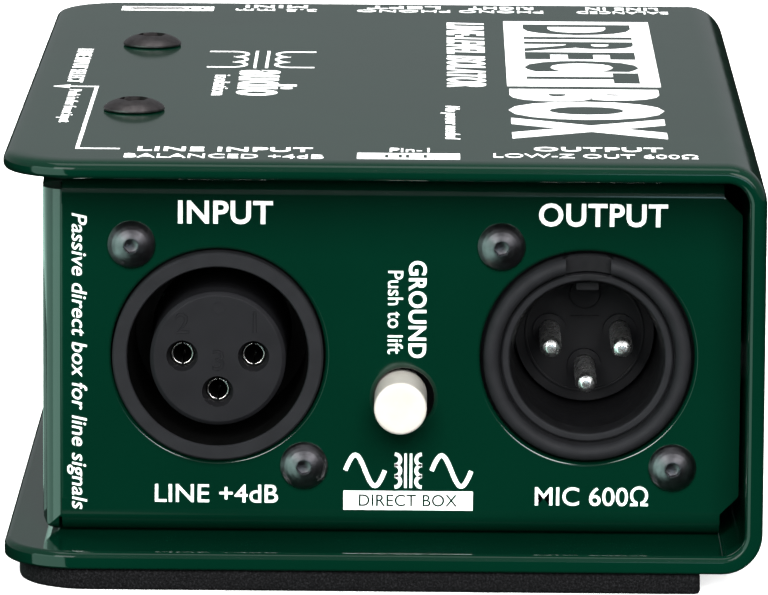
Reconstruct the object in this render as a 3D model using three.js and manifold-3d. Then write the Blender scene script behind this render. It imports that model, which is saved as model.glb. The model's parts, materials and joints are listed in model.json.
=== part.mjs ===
// Passive direct injection box: a folded steel chassis inside a U-shaped steel sleeve, with two
// three-pin audio connectors and a ground-lift button in front, an input-select button at the left,
// a row of sockets at the rear, and a circuit board with an isolating transformer inside.
// Millimetres, X to the right, Y to the rear, Z up, origin at the centre of the footprint.
import * as THREE from "three";
import { mergeVertices } from "three/addons/utils/BufferGeometryUtils.js";
import Module from "manifold-3d";

const wasm = await Module();
wasm.setup();

// Case
const WIDTH = 84;
const DEPTH = 127;
const HEIGHT = 48;
const SHEET = 2;
const GAP = 0.3;
const PAINT_GAP = 0.1;
const PAD_THICKNESS = 2.4;
const PAD = { left: -40.3, right: 35.2, halfDepth: 62.9, cornerLeft: 8, cornerRight: 0.8 };
const SLEEVE_BEND = 4.5;
const SLEEVE_CORNER = 8.5;
const CHASSIS_LEFT = -37.9;
const CHASSIS_RIGHT = 39.65;
const CHASSIS_HALF_DEPTH = 54;
const CHASSIS_BEND = 3;
const SIDE_BEND = 2.2;
const CHASSIS_BASE = PAD_THICKNESS + SHEET + PAINT_GAP;
const CHASSIS_TOP = HEIGHT - SHEET - GAP;
const FLANGE_WIDTH = 10;
const SIDE_FLANGE_WIDTH = 14;
const FLANGE_RIGHT_END = 37.6;
const FLANGE_GAP = 0.6;
const CORNER_SLIT = { from: 1.9, to: 2.25, height: 1.8 };
const UPPER_NOTCH = { width: 2.3, height: 2.4, depth: 3.4 };
const END_CUT = 2.7;
const CASE_SCREW = { x: -28.8, front: -26.5, rear: 24.7, shank: 2, length: 7 };
const COUNTERSINK = 1.4;
const CHASSIS_LEVELS = [
  [CHASSIS_TOP, 1],
  [CHASSIS_BASE, -1],
];

// Button-head screws
const CASE_HEAD = { radius: 3.5, height: 1.4, socket: 1.45 };
const CONNECTOR_HEAD = { radius: 2.65, height: 1.5, socket: 0.95, shank: 1.5, length: 6 };
const BOARD_HEAD = { radius: 2.3, height: 1.2, socket: 0.9, shank: 1.4, length: 11.4 };

// Three-pin connectors, whose own frames have their origin at the panel face, Y inwards
const INPUT_CENTRE = { x: -18.3, z: 24.85 };
const OUTPUT_CENTRE = { x: 22.65, z: 24.9 };
const CONNECTOR_HOLE = 12.3;
const CONNECTOR_BODY = 11.7;
const CONNECTOR_DEPTH = 19;
const FLANGE_PLATE = { width: 26, height: 31, corner: 3, thickness: 2 };
const SCREW_OFFSET = { x: 9.6, z: 12.4 };
const SCREW_HOLE = 1.8;
const SOCKETS = [
  { x: 3.96, z: 0.3 },
  { x: -3.96, z: 0.3 },
  { x: 0, z: -3.7 },
];
const PINS = SOCKETS.map(({ x, z }) => ({ x: -x, z }));
const CONTACT_LEG_Y = 22;
const CONTACT_LEG = 0.6;
const CONTACT_HOLE = 1.2;
const SOCKET_MOUTH = 9.9;
const INSERT_RADIUS = 7.55;
const INSERT_FACE = -0.8;
const INSERT_DROP = 0.3;
const CAVITY_RADIUS = 8.2;
const CAVITY_FLOOR = 15;
const PIN_RADIUS = 1.2;
const PIN_TIP = 3.4;

// Push buttons, whose own frames have their origin at the panel face, Y the way they are pushed
const BUTTON_HEIGHT = 20.1;
const BUTTON_RADIUS = 2.92;
const BUTTON_LENGTH = 8.2;
const BUTTON_HOLE = 3.9;
const SPRING_LENGTH = 7.7;
const SPRING_RADIUS = 1.9;
const SPRING_WIRE = 0.25;
const SPRING_TURNS = 5;
const SWITCH_BODY = 13.7;
const PLUNGER_RADIUS = 1.2;
const GROUND_LIFT = { x: 2, hole: 2.35, proud: 6.2 };
const INPUT_SELECT = { y: -9.1, proud: 1.4 };
const MERGE = { x: -28.1, proud: 6.2 };

// Rear sockets
const MINI_JACK = { x: -14.5, z: 19.9, thread: 3, bore: 1.85 };
const PHONO = { left: 1, right: 14.2, z: 23.2, barrel: 4.15, bore: 3.3, nose: 3, proud: 8.5 };
const LINE_JACK = { x: 28.9, z: 24.2, thread: 4.7, bore: 3.3, proud: 4.5 };

// Circuit board and what stands on it
const BOARD = { left: -34.5, right: 36.5, front: -33.2, rear: 49.8, base: 14.5, thickness: 1.6 };
const BOARD_TOP = BOARD.base + BOARD.thickness;
const TONGUE = { left: -4.8, right: 8.8, front: -44.6 };
const STANDOFFS = [
  [-30, -17.5],
  [-30, 12],
  [-7.1, 48],
];
const TRANSFORMER = { x: 11, y: -14, width: 23, depth: 22, height: 20, wall: 0.8 };
const RESISTORS = [6, 10.5, 15, 19.5];
const RESISTOR_X = -17;
const RESISTOR_SPAN = 10.2;
const CAPACITORS = [12, 23];
const CAPACITOR_Y = 14;
const LEG_RADIUS = 0.3;
const LEG_HOLE = 0.6;

// Facets round a full turn
const FINE = 48;
const MEDIUM = 24;
const COARSE = 12;
const WIRE = 6;

function finish(color, roughness, metalness) {
  return new THREE.MeshStandardMaterial({ color, roughness, metalness });
}

const GREEN_PAINT = finish(0x063022, 0.25, 0.2);
const BLACK_STEEL = finish(0x2a2b2e, 0.35, 0.9);
const BLACK_PLASTIC = finish(0x17181a, 0.5, 0);
const BLACK_FOAM = finish(0x242528, 0.95, 0);
const WHITE_PLASTIC = finish(0xf4f1ea, 0.45, 0);
const SILVER = finish(0xd8d8d8, 0.25, 1);
const GOLD = finish(0xc9a24a, 0.3, 1);
const CAN_METAL = finish(0xa9adb0, 0.4, 1);
const BOARD_GREEN = finish(0x1c5a36, 0.6, 0);
const COPPER = finish(0xa4552c, 0.4, 0.8);
const TAN = finish(0xc9a878, 0.6, 0);
const FILM_RED = finish(0x8c2f22, 0.4, 0);

// Solids

function solid(geometry) {
  geometry.deleteAttribute("normal");
  geometry.deleteAttribute("uv");
  const merged = mergeVertices(geometry, 1e-4);
  return new wasm.Manifold(
    new wasm.Mesh({
      numProp: 3,
      vertProperties: merged.attributes.position.array,
      triVerts: new Uint32Array(merged.index.array),
    }),
  );
}

function joined(solids) {
  return solids.reduce((whole, next) => whole.add(next));
}

function cut(whole, ...tools) {
  return tools.reduce((left, tool) => left.subtract(tool), whole);
}

function part(name, body, material, place = {}) {
  const { numProp, vertProperties, triVerts } = body.getMesh();
  const positions = new Float32Array((vertProperties.length / numProp) * 3);
  for (let i = 0; i < positions.length / 3; i++) {
    positions.set(vertProperties.subarray(i * numProp, i * numProp + 3), i * 3);
  }
  const geometry = new THREE.BufferGeometry();
  geometry.setAttribute("position", new THREE.BufferAttribute(positions, 3));
  geometry.setIndex(new THREE.BufferAttribute(new Uint32Array(triVerts), 1));
  geometry.computeVertexNormals();
  const mesh = new THREE.Mesh(geometry, material);
  mesh.name = name;
  mesh.position.set(place.x ?? 0, place.y ?? 0, place.z ?? 0);
  mesh.rotation.set(place.turnX ?? 0, 0, place.turnZ ?? 0);
  return mesh;
}

function block([x0, x1], [y0, y1], [z0, z1]) {
  const geometry = new THREE.BoxGeometry(x1 - x0, y1 - y0, z1 - z0);
  return solid(geometry.translate((x0 + x1) / 2, (y0 + y1) / 2, (z0 + z1) / 2));
}

// A cylinder along Y, from y0 to y1
function rod(radius, y0, y1, x = 0, z = 0, sides = MEDIUM) {
  const geometry = new THREE.CylinderGeometry(radius, radius, y1 - y0, sides);
  return solid(geometry.translate(x, (y0 + y1) / 2, z));
}

// A cylinder along Z, from z0 to z1
function post(radius, z0, z1, x = 0, y = 0, sides = COARSE) {
  const geometry = new THREE.CylinderGeometry(radius, radius, z1 - z0, sides).rotateX(Math.PI / 2);
  return solid(geometry.translate(x, y, (z0 + z1) / 2));
}

// A cylinder along X, from x0 to x1
function bar(radius, x0, x1, y = 0, z = 0, sides = MEDIUM) {
  const geometry = new THREE.CylinderGeometry(radius, radius, x1 - x0, sides).rotateZ(Math.PI / 2);
  return solid(geometry.translate((x0 + x1) / 2, y, z));
}

// A turned piece about Y: its profile runs towards +Y outside and back towards -Y inside
function turned(profile, sides = FINE) {
  return solid(new THREE.LatheGeometry(profile.map(([r, y]) => new THREE.Vector2(r, y)), sides));
}

function arc(centreX, centreY, radius, fromDegrees, toDegrees, steps = 5) {
  return Array.from({ length: steps + 1 }, (_, i) => {
    const angle = THREE.MathUtils.degToRad(fromDegrees + ((toDegrees - fromDegrees) * i) / steps);
    return [centreX + radius * Math.cos(angle), centreY + radius * Math.sin(angle)];
  });
}

function outline(points) {
  return new THREE.Shape(points.map(([x, y]) => new THREE.Vector2(x, y)));
}

// A rectangle whose corners are rounded by one radius at the left and another at the right
function roundedPlan(left, right, halfDepth, cornerLeft, cornerRight) {
  return outline([
    ...arc(left + cornerLeft, -halfDepth + cornerLeft, cornerLeft, 180, 270),
    ...arc(right - cornerRight, -halfDepth + cornerRight, cornerRight, 270, 360),
    ...arc(right - cornerRight, halfDepth - cornerRight, cornerRight, 0, 90),
    ...arc(left + cornerLeft, halfDepth - cornerLeft, cornerLeft, 90, 180),
  ]);
}

const AXIS = {
  x: new THREE.Vector3(1, 0, 0),
  y: new THREE.Vector3(0, 1, 0),
  z: new THREE.Vector3(0, 0, 1),
};

function extruded(shape, from, to, matrix) {
  const geometry = new THREE.ExtrudeGeometry(shape, { depth: to - from, bevelEnabled: false });
  return solid(geometry.translate(0, 0, from).applyMatrix4(matrix));
}

function alongX(shape, from, to) {
  return extruded(shape, from, to, new THREE.Matrix4().makeBasis(AXIS.y, AXIS.z, AXIS.x));
}

function alongY(shape, from, to) {
  const back = AXIS.y.clone().negate();
  return extruded(shape, -to, -from, new THREE.Matrix4().makeBasis(AXIS.x, AXIS.z, back));
}

function alongZ(shape, from, to) {
  return extruded(shape, from, to, new THREE.Matrix4());
}

// Case

function outerSleeve() {
  const right = WIDTH / 2;
  const bendX = right - SLEEVE_BEND;
  const lowBend = PAD_THICKNESS + SLEEVE_BEND;
  const highBend = HEIGHT - SLEEVE_BEND;
  const inner = SLEEVE_BEND - SHEET;
  const section = outline([
    [-right, HEIGHT - SHEET],
    ...arc(bendX, highBend, inner, 90, 0),
    ...arc(bendX, lowBend, inner, 0, -90),
    [-right, PAD_THICKNESS + SHEET],
    [-right, PAD_THICKNESS],
    ...arc(bendX, lowBend, SLEEVE_BEND, -90, 0),
    ...arc(bendX, highBend, SLEEVE_BEND, 0, 90),
    [-right, HEIGHT],
  ]);
  const plan = roundedPlan(-right, right + 1, DEPTH / 2, SLEEVE_CORNER, 1e-3);
  const holes = [CASE_SCREW.front, CASE_SCREW.rear].flatMap((y) => [
    post(CASE_SCREW.shank + GAP, HEIGHT - 3 * SHEET, HEIGHT + 1, CASE_SCREW.x, y),
    countersink(CASE_SCREW.x, y),
  ]);
  const trimmed = alongY(section, -DEPTH / 2, DEPTH / 2).intersect(alongZ(plan, -1, HEIGHT + 1));
  return cut(trimmed, ...holes);
}

// The countersunk hole of a bottom case screw
function countersink(x, y) {
  const wide = CASE_SCREW.shank + COUNTERSINK;
  const narrow = CASE_SCREW.shank + GAP;
  const cone = new THREE.CylinderGeometry(narrow, wide, COUNTERSINK, COARSE).rotateX(Math.PI / 2);
  const level = PAD_THICKNESS + COUNTERSINK / 2 - PAINT_GAP;
  return solid(cone.translate(x, y, level)).add(post(narrow, 0, CHASSIS_BASE + SHEET, x, y));
}

// The outline of a bent lip: u runs inwards from the wall's outer face, v up to the lip's outer face
function lipOutline(width, bend, place) {
  const points = [
    [0, -bend - 1],
    ...arc(bend, -bend, bend, 180, 90),
    [width, 0],
    [width, -SHEET],
    ...arc(bend, -bend, bend - SHEET, 90, 180),
    [SHEET, -bend - 1],
  ];
  return outline(points.map(place));
}

// All that lies within the chassis' outer faces, with the bends' rounding on its edges
function chassisEnvelope() {
  const middle = (CHASSIS_BASE + CHASSIS_TOP) / 2;
  const half = (CHASSIS_TOP - CHASSIS_BASE) / 2;
  const bend = CHASSIS_BEND;
  const side = roundedPlan(-CHASSIS_HALF_DEPTH, CHASSIS_HALF_DEPTH, half, bend, bend);
  const front = roundedPlan(CHASSIS_LEFT, CHASSIS_RIGHT + 1, half, SIDE_BEND, 1e-3);
  const across = alongX(side, CHASSIS_LEFT - 1, CHASSIS_RIGHT + 1);
  return across.intersect(alongY(front, -DEPTH, DEPTH)).translate([0, 0, middle]);
}

function chassisWalls() {
  const bend = CHASSIS_BEND;
  const centreX = CHASSIS_LEFT + bend;
  const front = -CHASSIS_HALF_DEPTH;
  const rear = CHASSIS_HALF_DEPTH;
  const plan = outline([
    [CHASSIS_RIGHT, front],
    ...arc(centreX, front + bend, bend, 270, 180),
    ...arc(centreX, rear - bend, bend, 180, 90),
    [CHASSIS_RIGHT, rear],
    [CHASSIS_RIGHT, rear - SHEET],
    ...arc(centreX, rear - bend, bend - SHEET, 90, 180),
    ...arc(centreX, front + bend, bend - SHEET, 180, 270),
    [CHASSIS_RIGHT, front + SHEET],
  ]);
  const walls = alongZ(plan, CHASSIS_BASE, CHASSIS_TOP).intersect(chassisEnvelope());
  return cut(walls, ...endCuts());
}

// Diagonal cuts at the open right end of the front and rear walls, above and below
function endCuts() {
  const end = FLANGE_RIGHT_END;
  const past = CHASSIS_RIGHT + 1;
  return CHASSIS_LEVELS.map(([level, up]) => {
    const start = level - up * END_CUT;
    const points = [
      [end, start],
      [past, start - up * (past - end)],
      [past, level + up],
      [end, level + up],
    ];
    return alongY(outline(points), -DEPTH, DEPTH);
  });
}

// Lips at the top and bottom of the front, rear and left walls
function chassisLips() {
  const sideEnd = CHASSIS_HALF_DEPTH - FLANGE_WIDTH - FLANGE_GAP;
  const bendEnd = CHASSIS_HALF_DEPTH - CHASSIS_BEND;
  return CHASSIS_LEVELS.flatMap(([level, up]) => {
    const ends = [-1, 1].map((end) => {
      const place = ([u, v]) => [end * (CHASSIS_HALF_DEPTH - u), level + up * v];
      const lip = lipOutline(FLANGE_WIDTH, CHASSIS_BEND, place);
      return alongX(lip, CHASSIS_LEFT + CORNER_SLIT.to, FLANGE_RIGHT_END);
    });
    const place = ([u, v]) => [CHASSIS_LEFT + u, level + up * v];
    const bend = alongY(lipOutline(SIDE_BEND + 0.01, SIDE_BEND, place), -bendEnd, bendEnd);
    const lip = alongY(lipOutline(SIDE_FLANGE_WIDTH, SIDE_BEND, place), -sideEnd, sideEnd);
    return [...ends, bend, lip];
  });
}

// Slits that part the lips at the left corners, and the notches of the upper corners
function cornerReliefs() {
  const { from, to, height } = CORNER_SLIT;
  const inwards = CHASSIS_HALF_DEPTH - FLANGE_WIDTH - FLANGE_GAP;
  const outwards = CHASSIS_HALF_DEPTH + 1;
  return [-1, 1].flatMap((end) => {
    const depth = [end * inwards, end * outwards].sort((a, b) => a - b);
    const slits = CHASSIS_LEVELS.map(([level, up]) => {
      const span = [level - up * height, level + up].sort((a, b) => a - b);
      return block([CHASSIS_LEFT + from, CHASSIS_LEFT + to], depth, span);
    });
    const notch = UPPER_NOTCH;
    const ends = [end * (CHASSIS_HALF_DEPTH - notch.depth), end * outwards].sort((a, b) => a - b);
    const above = [CHASSIS_TOP - notch.height, CHASSIS_TOP + 1];
    return [...slits, block([CHASSIS_LEFT - 1, CHASSIS_LEFT + notch.width], ends, above)];
  });
}

function innerChassis() {
  const front = [-CHASSIS_HALF_DEPTH - 1, 1 - CHASSIS_HALF_DEPTH + SHEET];
  const rear = [CHASSIS_HALF_DEPTH - SHEET - 1, CHASSIS_HALF_DEPTH + 1];
  const connectors = [INPUT_CENTRE, OUTPUT_CENTRE].flatMap(({ x, z }) => [
    rod(CONNECTOR_HOLE, ...front, x, z, FINE),
    rod(SCREW_HOLE, ...front, x - SCREW_OFFSET.x, z + SCREW_OFFSET.z, COARSE),
    rod(SCREW_HOLE, ...front, x + SCREW_OFFSET.x, z - SCREW_OFFSET.z, COARSE),
  ]);
  const buttons = [
    rod(BUTTON_HOLE, ...front, GROUND_LIFT.hole, BUTTON_HEIGHT),
    rod(BUTTON_HOLE, ...rear, MERGE.x, BUTTON_HEIGHT),
    bar(BUTTON_HOLE, CHASSIS_LEFT - 1, CHASSIS_LEFT + SHEET + 1, INPUT_SELECT.y, BUTTON_HEIGHT),
  ];
  const sockets = [
    rod(MINI_JACK.thread + GAP, ...rear, MINI_JACK.x, MINI_JACK.z),
    rod(PHONO.barrel + GAP, ...rear, PHONO.left, PHONO.z),
    rod(PHONO.barrel + GAP, ...rear, PHONO.right, PHONO.z),
    rod(LINE_JACK.thread + GAP, ...rear, LINE_JACK.x, LINE_JACK.z),
  ];
  const caseScrews = [CASE_SCREW.front, CASE_SCREW.rear].map((y) =>
    post(CASE_SCREW.shank + GAP, 0, HEIGHT, CASE_SCREW.x, y),
  );
  const boardScrews = STANDOFFS.map(([x, y]) => post(SCREW_HOLE, 0, BOARD.base, x, y));
  const folded = cut(joined([chassisWalls(), ...chassisLips()]), ...cornerReliefs());
  return cut(folded, ...connectors, ...buttons, ...sockets, ...caseScrews, ...boardScrews);
}

// Screws, with the head towards -Y and its underside at y = 0

function buttonHeadScrew({ radius, height, socket, shank, length }) {
  const body = turned(
    [
      [0, -height],
      [radius * 0.5, -height],
      [radius * 0.85, -height * 0.6],
      [radius, 0],
      [shank, 0],
      [shank, length],
      [0, length],
    ],
    COARSE + 4,
  );
  return cut(body, rod(socket, -height - 1, -height * 0.35, 0, 0, 6));
}

function countersunkScrew(head, shank, length) {
  const depth = head - shank;
  const body = turned(
    [
      [0, 0],
      [head, 0],
      [shank, depth],
      [shank, length],
      [0, length],
    ],
    COARSE,
  );
  return cut(body, rod(1.2, -1, 0.6, 0, 0, 6));
}

function caseScrews() {
  const sides = { front: CASE_SCREW.front, rear: CASE_SCREW.rear };
  return Object.entries(sides).flatMap(([name, y]) => {
    const { x, shank, length } = CASE_SCREW;
    const top = buttonHeadScrew({ ...CASE_HEAD, shank, length });
    const upper = { x, y, z: HEIGHT + PAINT_GAP, turnX: -Math.PI / 2 };
    const lower = { x, y, z: PAD_THICKNESS + PAINT_GAP, turnX: Math.PI / 2 };
    const bottom = countersunkScrew(shank + 1, shank, length);
    return [
      part(`case_screw_top_${name}`, top, BLACK_STEEL, upper),
      part(`case_screw_bottom_${name}`, bottom, BLACK_STEEL, lower),
    ];
  });
}

// Connectors

function flangePlate() {
  const { width, height, corner, thickness } = FLANGE_PLATE;
  const plate = roundedPlan(-width / 2, width / 2, height / 2, corner, corner);
  const start = SHEET + GAP;
  return cut(
    alongY(plate, start, start + thickness),
    rod(SCREW_HOLE, 0, 10, -SCREW_OFFSET.x, SCREW_OFFSET.z, COARSE),
    rod(SCREW_HOLE, 0, 10, SCREW_OFFSET.x, -SCREW_OFFSET.z, COARSE),
    rod(CONNECTOR_BODY - 1, 0, 10, 0, 0, FINE),
  );
}

function inputHousing() {
  const seat = INSERT_RADIUS + INSERT_DROP + GAP;
  const shell = turned(
    [
      [SOCKET_MOUTH + 0.25, -1.2],
      [CONNECTOR_BODY - 0.3, -1.2],
      [CONNECTOR_BODY, -0.9],
      [CONNECTOR_BODY, CONNECTOR_DEPTH],
      [seat, CONNECTOR_DEPTH],
      [seat, CONNECTOR_DEPTH - 4],
      [SOCKET_MOUTH - 0.2, CONNECTOR_DEPTH - 4],
      [SOCKET_MOUTH - 0.2, 1.6],
      [SOCKET_MOUTH + 0.25, -1.2],
    ],
    FINE,
  );
  return shell.add(flangePlate());
}

function inputInsert() {
  const bores = SOCKETS.flatMap(({ x, z }) => [
    rod(1.35, -2, 5, x, z, COARSE),
    rod(1.75, -2, INSERT_FACE + 0.6, x, z, COARSE),
    rod(2, 3, CONNECTOR_DEPTH + 1, x, z, COARSE),
  ]);
  const body = rod(INSERT_RADIUS, INSERT_FACE, CONNECTOR_DEPTH, 0, 0, FINE);
  return cut(body, ...bores).translate([0, 0, -INSERT_DROP]);
}

// A leg that runs back from a contact and turns down through the board
function contactLeg(height, from) {
  const down = BOARD.base - 1 - height;
  const half = CONTACT_LEG;
  return rod(half, from, CONTACT_LEG_Y, 0, 0, WIRE).add(
    block([-half, half], [CONTACT_LEG_Y - half, CONTACT_LEG_Y + half], [down, half]),
  );
}

function inputContact(height) {
  const barrel = cut(rod(1.6, 3.4, 16, 0, 0, COARSE), rod(1.25, 3, 14, 0, 0, COARSE));
  return barrel.add(contactLeg(height, 15));
}

function outputHousing() {
  const shell = turned(
    [
      [10.1, -1.6],
      [10.9, -1.6],
      [11.5, -1],
      [11.5, SHEET],
      [CONNECTOR_BODY, SHEET + GAP],
      [CONNECTOR_BODY, CONNECTOR_DEPTH],
      [CAVITY_RADIUS, CONNECTOR_DEPTH],
      [CAVITY_RADIUS, 1.4],
      [8.6, 0.2],
      [9.5, 0.2],
      [9.8, -0.9],
      [10.1, -1.6],
    ],
    FINE,
  );
  const notch = block([-2.55, 2.55], [-3, -0.6], [8.2, 13]);
  const keyRib = block([-1.3, 1.3], [1.6, CAVITY_FLOOR - 1], [CAVITY_RADIUS - 1, CAVITY_RADIUS + 1]);
  return cut(shell.add(flangePlate()), notch).add(keyRib);
}

function outputInsert() {
  const radius = CAVITY_RADIUS - GAP;
  const bosses = PINS.map(({ x, z }) => rod(1.9, CAVITY_FLOOR - 0.5, CAVITY_FLOOR + 1, x, z, COARSE));
  const bores = PINS.map(({ x, z }) => rod(PIN_RADIUS + GAP, 0, CONNECTOR_DEPTH + 1, x, z, COARSE));
  const disc = rod(radius, CAVITY_FLOOR, CONNECTOR_DEPTH, 0, 0, FINE);
  return cut(joined([disc, ...bosses]), ...bores);
}

function outputPin(height) {
  const body = turned(
    [
      [0, PIN_TIP],
      [0.6, PIN_TIP + 0.15],
      [1.05, PIN_TIP + 0.6],
      [PIN_RADIUS, PIN_TIP + 1.3],
      [PIN_RADIUS, CONNECTOR_DEPTH + 0.5],
      [0, CONNECTOR_DEPTH + 0.5],
    ],
    COARSE,
  );
  return body.add(contactLeg(height, CONNECTOR_DEPTH));
}

function connector(name, centre, housing, insert, contacts) {
  const group = new THREE.Group();
  group.position.set(centre.x, -CHASSIS_HALF_DEPTH, centre.z);
  const offset = SCREW_OFFSET;
  const screw = buttonHeadScrew(CONNECTOR_HEAD);
  group.add(
    part(`${name}_housing`, housing, BLACK_PLASTIC),
    part(`${name}_insert`, insert, BLACK_PLASTIC),
    part(`${name}_screw_upper`, screw, BLACK_STEEL, { x: -offset.x, y: -PAINT_GAP, z: offset.z }),
    part(`${name}_screw_lower`, screw, BLACK_STEEL, { x: offset.x, y: -PAINT_GAP, z: -offset.z }),
  );
  contacts.places.forEach(({ x, z }, i) => {
    const contact = contacts.make(centre.z + z);
    group.add(part(`${name}_${contacts.name}_${i + 1}`, contact, contacts.finish, { x, z }));
  });
  return group;
}

// Push buttons

function helix() {
  class Helix extends THREE.Curve {
    getPoint(t) {
      const angle = 2 * Math.PI * SPRING_TURNS * t;
      const run = SPRING_LENGTH - 2 * SPRING_WIRE;
      const y = SPRING_WIRE + run * t;
      return new THREE.Vector3(SPRING_RADIUS * Math.cos(angle), y, SPRING_RADIUS * Math.sin(angle));
    }
  }
  const wire = outline(arc(0, 0, SPRING_WIRE, 0, 288, 4));
  const geometry = new THREE.ExtrudeGeometry(wire, {
    steps: SPRING_TURNS * 9,
    extrudePath: new Helix(),
    bevelEnabled: false,
  });
  return solid(geometry);
}

function pushButton(name, proud, place) {
  const capBack = BUTTON_LENGTH - proud;
  const springStart = capBack + GAP;
  const bodyStart = springStart + SPRING_LENGTH + GAP;
  const bodyEnd = bodyStart + SWITCH_BODY;
  const half = BUTTON_HEIGHT - BOARD_TOP - GAP;
  const cap = cut(
    turned(
      [
        [0, -proud],
        [BUTTON_RADIUS - 0.35, -proud],
        [BUTTON_RADIUS, 0.35 - proud],
        [BUTTON_RADIUS, capBack],
        [0, capBack],
      ],
      MEDIUM,
    ),
    rod(PLUNGER_RADIUS + GAP, capBack - 4, capBack + 1, 0, 0, COARSE),
  );
  const plunger = rod(PLUNGER_RADIUS, capBack - 3.7, bodyStart + 6, 0, 0, COARSE);
  const body = cut(
    block([-half, half], [bodyStart, bodyEnd], [-half, half]),
    rod(PLUNGER_RADIUS + 0.5, bodyStart - 1, bodyEnd - 2, 0, 0, COARSE),
  );
  const group = new THREE.Group();
  group.position.set(place.x, place.y, BUTTON_HEIGHT);
  group.rotation.z = place.turnZ;
  group.add(
    part(`${name}_button`, cap, WHITE_PLASTIC),
    part(`${name}_plunger`, plunger, BLACK_PLASTIC),
    part(`${name}_spring`, helix(), SILVER, { y: springStart }),
    part(`${name}_switch_body`, body, BLACK_PLASTIC),
  );
  return group;
}

// Rear sockets, whose own frames have their origin at the rear panel's face, Y inwards

function atRear(x, z) {
  const group = new THREE.Group();
  group.position.set(x, CHASSIS_HALF_DEPTH, z);
  group.rotation.z = Math.PI;
  return group;
}

function phonoSocket(side, x) {
  const inside = SHEET + GAP;
  const shell = cut(
    rod(PHONO.barrel, -PHONO.proud, 4),
    rod(PHONO.bore, -PHONO.proud - 1, 5),
  );
  const slot = cut(
    rod(PHONO.barrel + GAP, 0, 4 + GAP),
    rod(PHONO.nose, -1, 6),
  );
  const low = BOARD_TOP + GAP - PHONO.z;
  const housing = cut(block([-5.2, 5.2], [inside, 12.5], [low, 6]), slot);
  const nose = rod(PHONO.nose, -PHONO.proud + 0.6, inside + 1);
  const insulator = cut(housing.add(nose), rod(1.6, -PHONO.proud - 1, 8, 0, 0, COARSE));
  const group = atRear(x, PHONO.z);
  group.add(part(`phono_${side}_barrel`, shell, SILVER));
  group.add(part(`phono_${side}_insulator`, insulator, BLACK_PLASTIC));
  return group;
}

function miniJack() {
  const { x, z, thread, bore } = MINI_JACK;
  const low = BOARD_TOP + GAP - z;
  const casing = block([-4.3, 4.3], [SHEET + GAP, 13.5], [low, -low]);
  const body = cut(casing.add(rod(thread, -2.6, SHEET + GAP + 1)), rod(bore, -4, 11, 0, 0, COARSE));
  const nut = cut(rod(4.1, -2.3, -GAP), rod(thread + GAP, -4, 1));
  const group = atRear(x, z);
  group.add(part("mini_jack_body", body, BLACK_PLASTIC));
  group.add(part("mini_jack_nut", nut, SILVER));
  return group;
}

function lineJack() {
  const { x, z, thread, bore, proud } = LINE_JACK;
  const low = BOARD_TOP + GAP - z;
  const inside = SHEET + GAP;
  const casing = cut(block([-7.8, 7.8], [inside, 25], [low, -low]), rod(thread + GAP, 0, 23));
  const sleeve = cut(rod(thread, -proud, 22), rod(bore, -proud - 1, 23));
  const washer = cut(rod(6.9, -0.8, -GAP), rod(thread + GAP, -4, 1));
  const nut = cut(rod(7.2, -3.2, -0.8 - GAP, 0, 0, 6), rod(thread + GAP, -4, 1));
  const group = atRear(x, z);
  group.add(part("line_jack_casing", casing, BLACK_PLASTIC));
  group.add(part("line_jack_sleeve", sleeve, SILVER));
  group.add(part("line_jack_washer", washer, SILVER));
  group.add(part("line_jack_nut", nut, SILVER));
  return group;
}

// Board

function legHoles() {
  const contacts = [INPUT_CENTRE, OUTPUT_CENTRE].flatMap((centre) =>
    SOCKETS.map(({ x }) => [centre.x + x, CONTACT_LEG_Y - CHASSIS_HALF_DEPTH, CONTACT_HOLE]),
  );
  const resistors = RESISTORS.flatMap((y) =>
    [-1, 1].map((side) => [RESISTOR_X + (side * RESISTOR_SPAN) / 2, y, LEG_HOLE]),
  );
  const capacitors = CAPACITORS.flatMap((x) =>
    [-1, 1].map((side) => [x + side * 2.5, CAPACITOR_Y, LEG_HOLE]),
  );
  return [...contacts, ...resistors, ...capacitors];
}

function circuitBoard() {
  const span = [BOARD.base, BOARD_TOP];
  const main = block([BOARD.left, BOARD.right], [BOARD.front, BOARD.rear], span);
  const tongue = block([TONGUE.left, TONGUE.right], [TONGUE.front, BOARD.front + 1], span);
  const through = [BOARD.base - 1, BOARD_TOP + 1];
  const screwHoles = STANDOFFS.map(([x, y]) => post(SCREW_HOLE, ...through, x, y));
  const small = legHoles().map(([x, y, radius]) => post(radius, ...through, x, y, WIRE));
  return cut(main.add(tongue), ...screwHoles, ...small);
}

function boardFixings() {
  return STANDOFFS.flatMap(([x, y], i) => {
    const low = CHASSIS_BASE + SHEET + GAP;
    const pillar = cut(post(2.5, low, BOARD.base - GAP, 0, 0, 6), post(SCREW_HOLE, 0, BOARD.base));
    const screw = buttonHeadScrew(BOARD_HEAD);
    const down = { x, y, z: BOARD_TOP + GAP, turnX: -Math.PI / 2 };
    return [
      part(`board_standoff_${i + 1}`, pillar, GOLD, { x, y }),
      part(`board_screw_${i + 1}`, screw, SILVER, down),
    ];
  });
}

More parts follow.
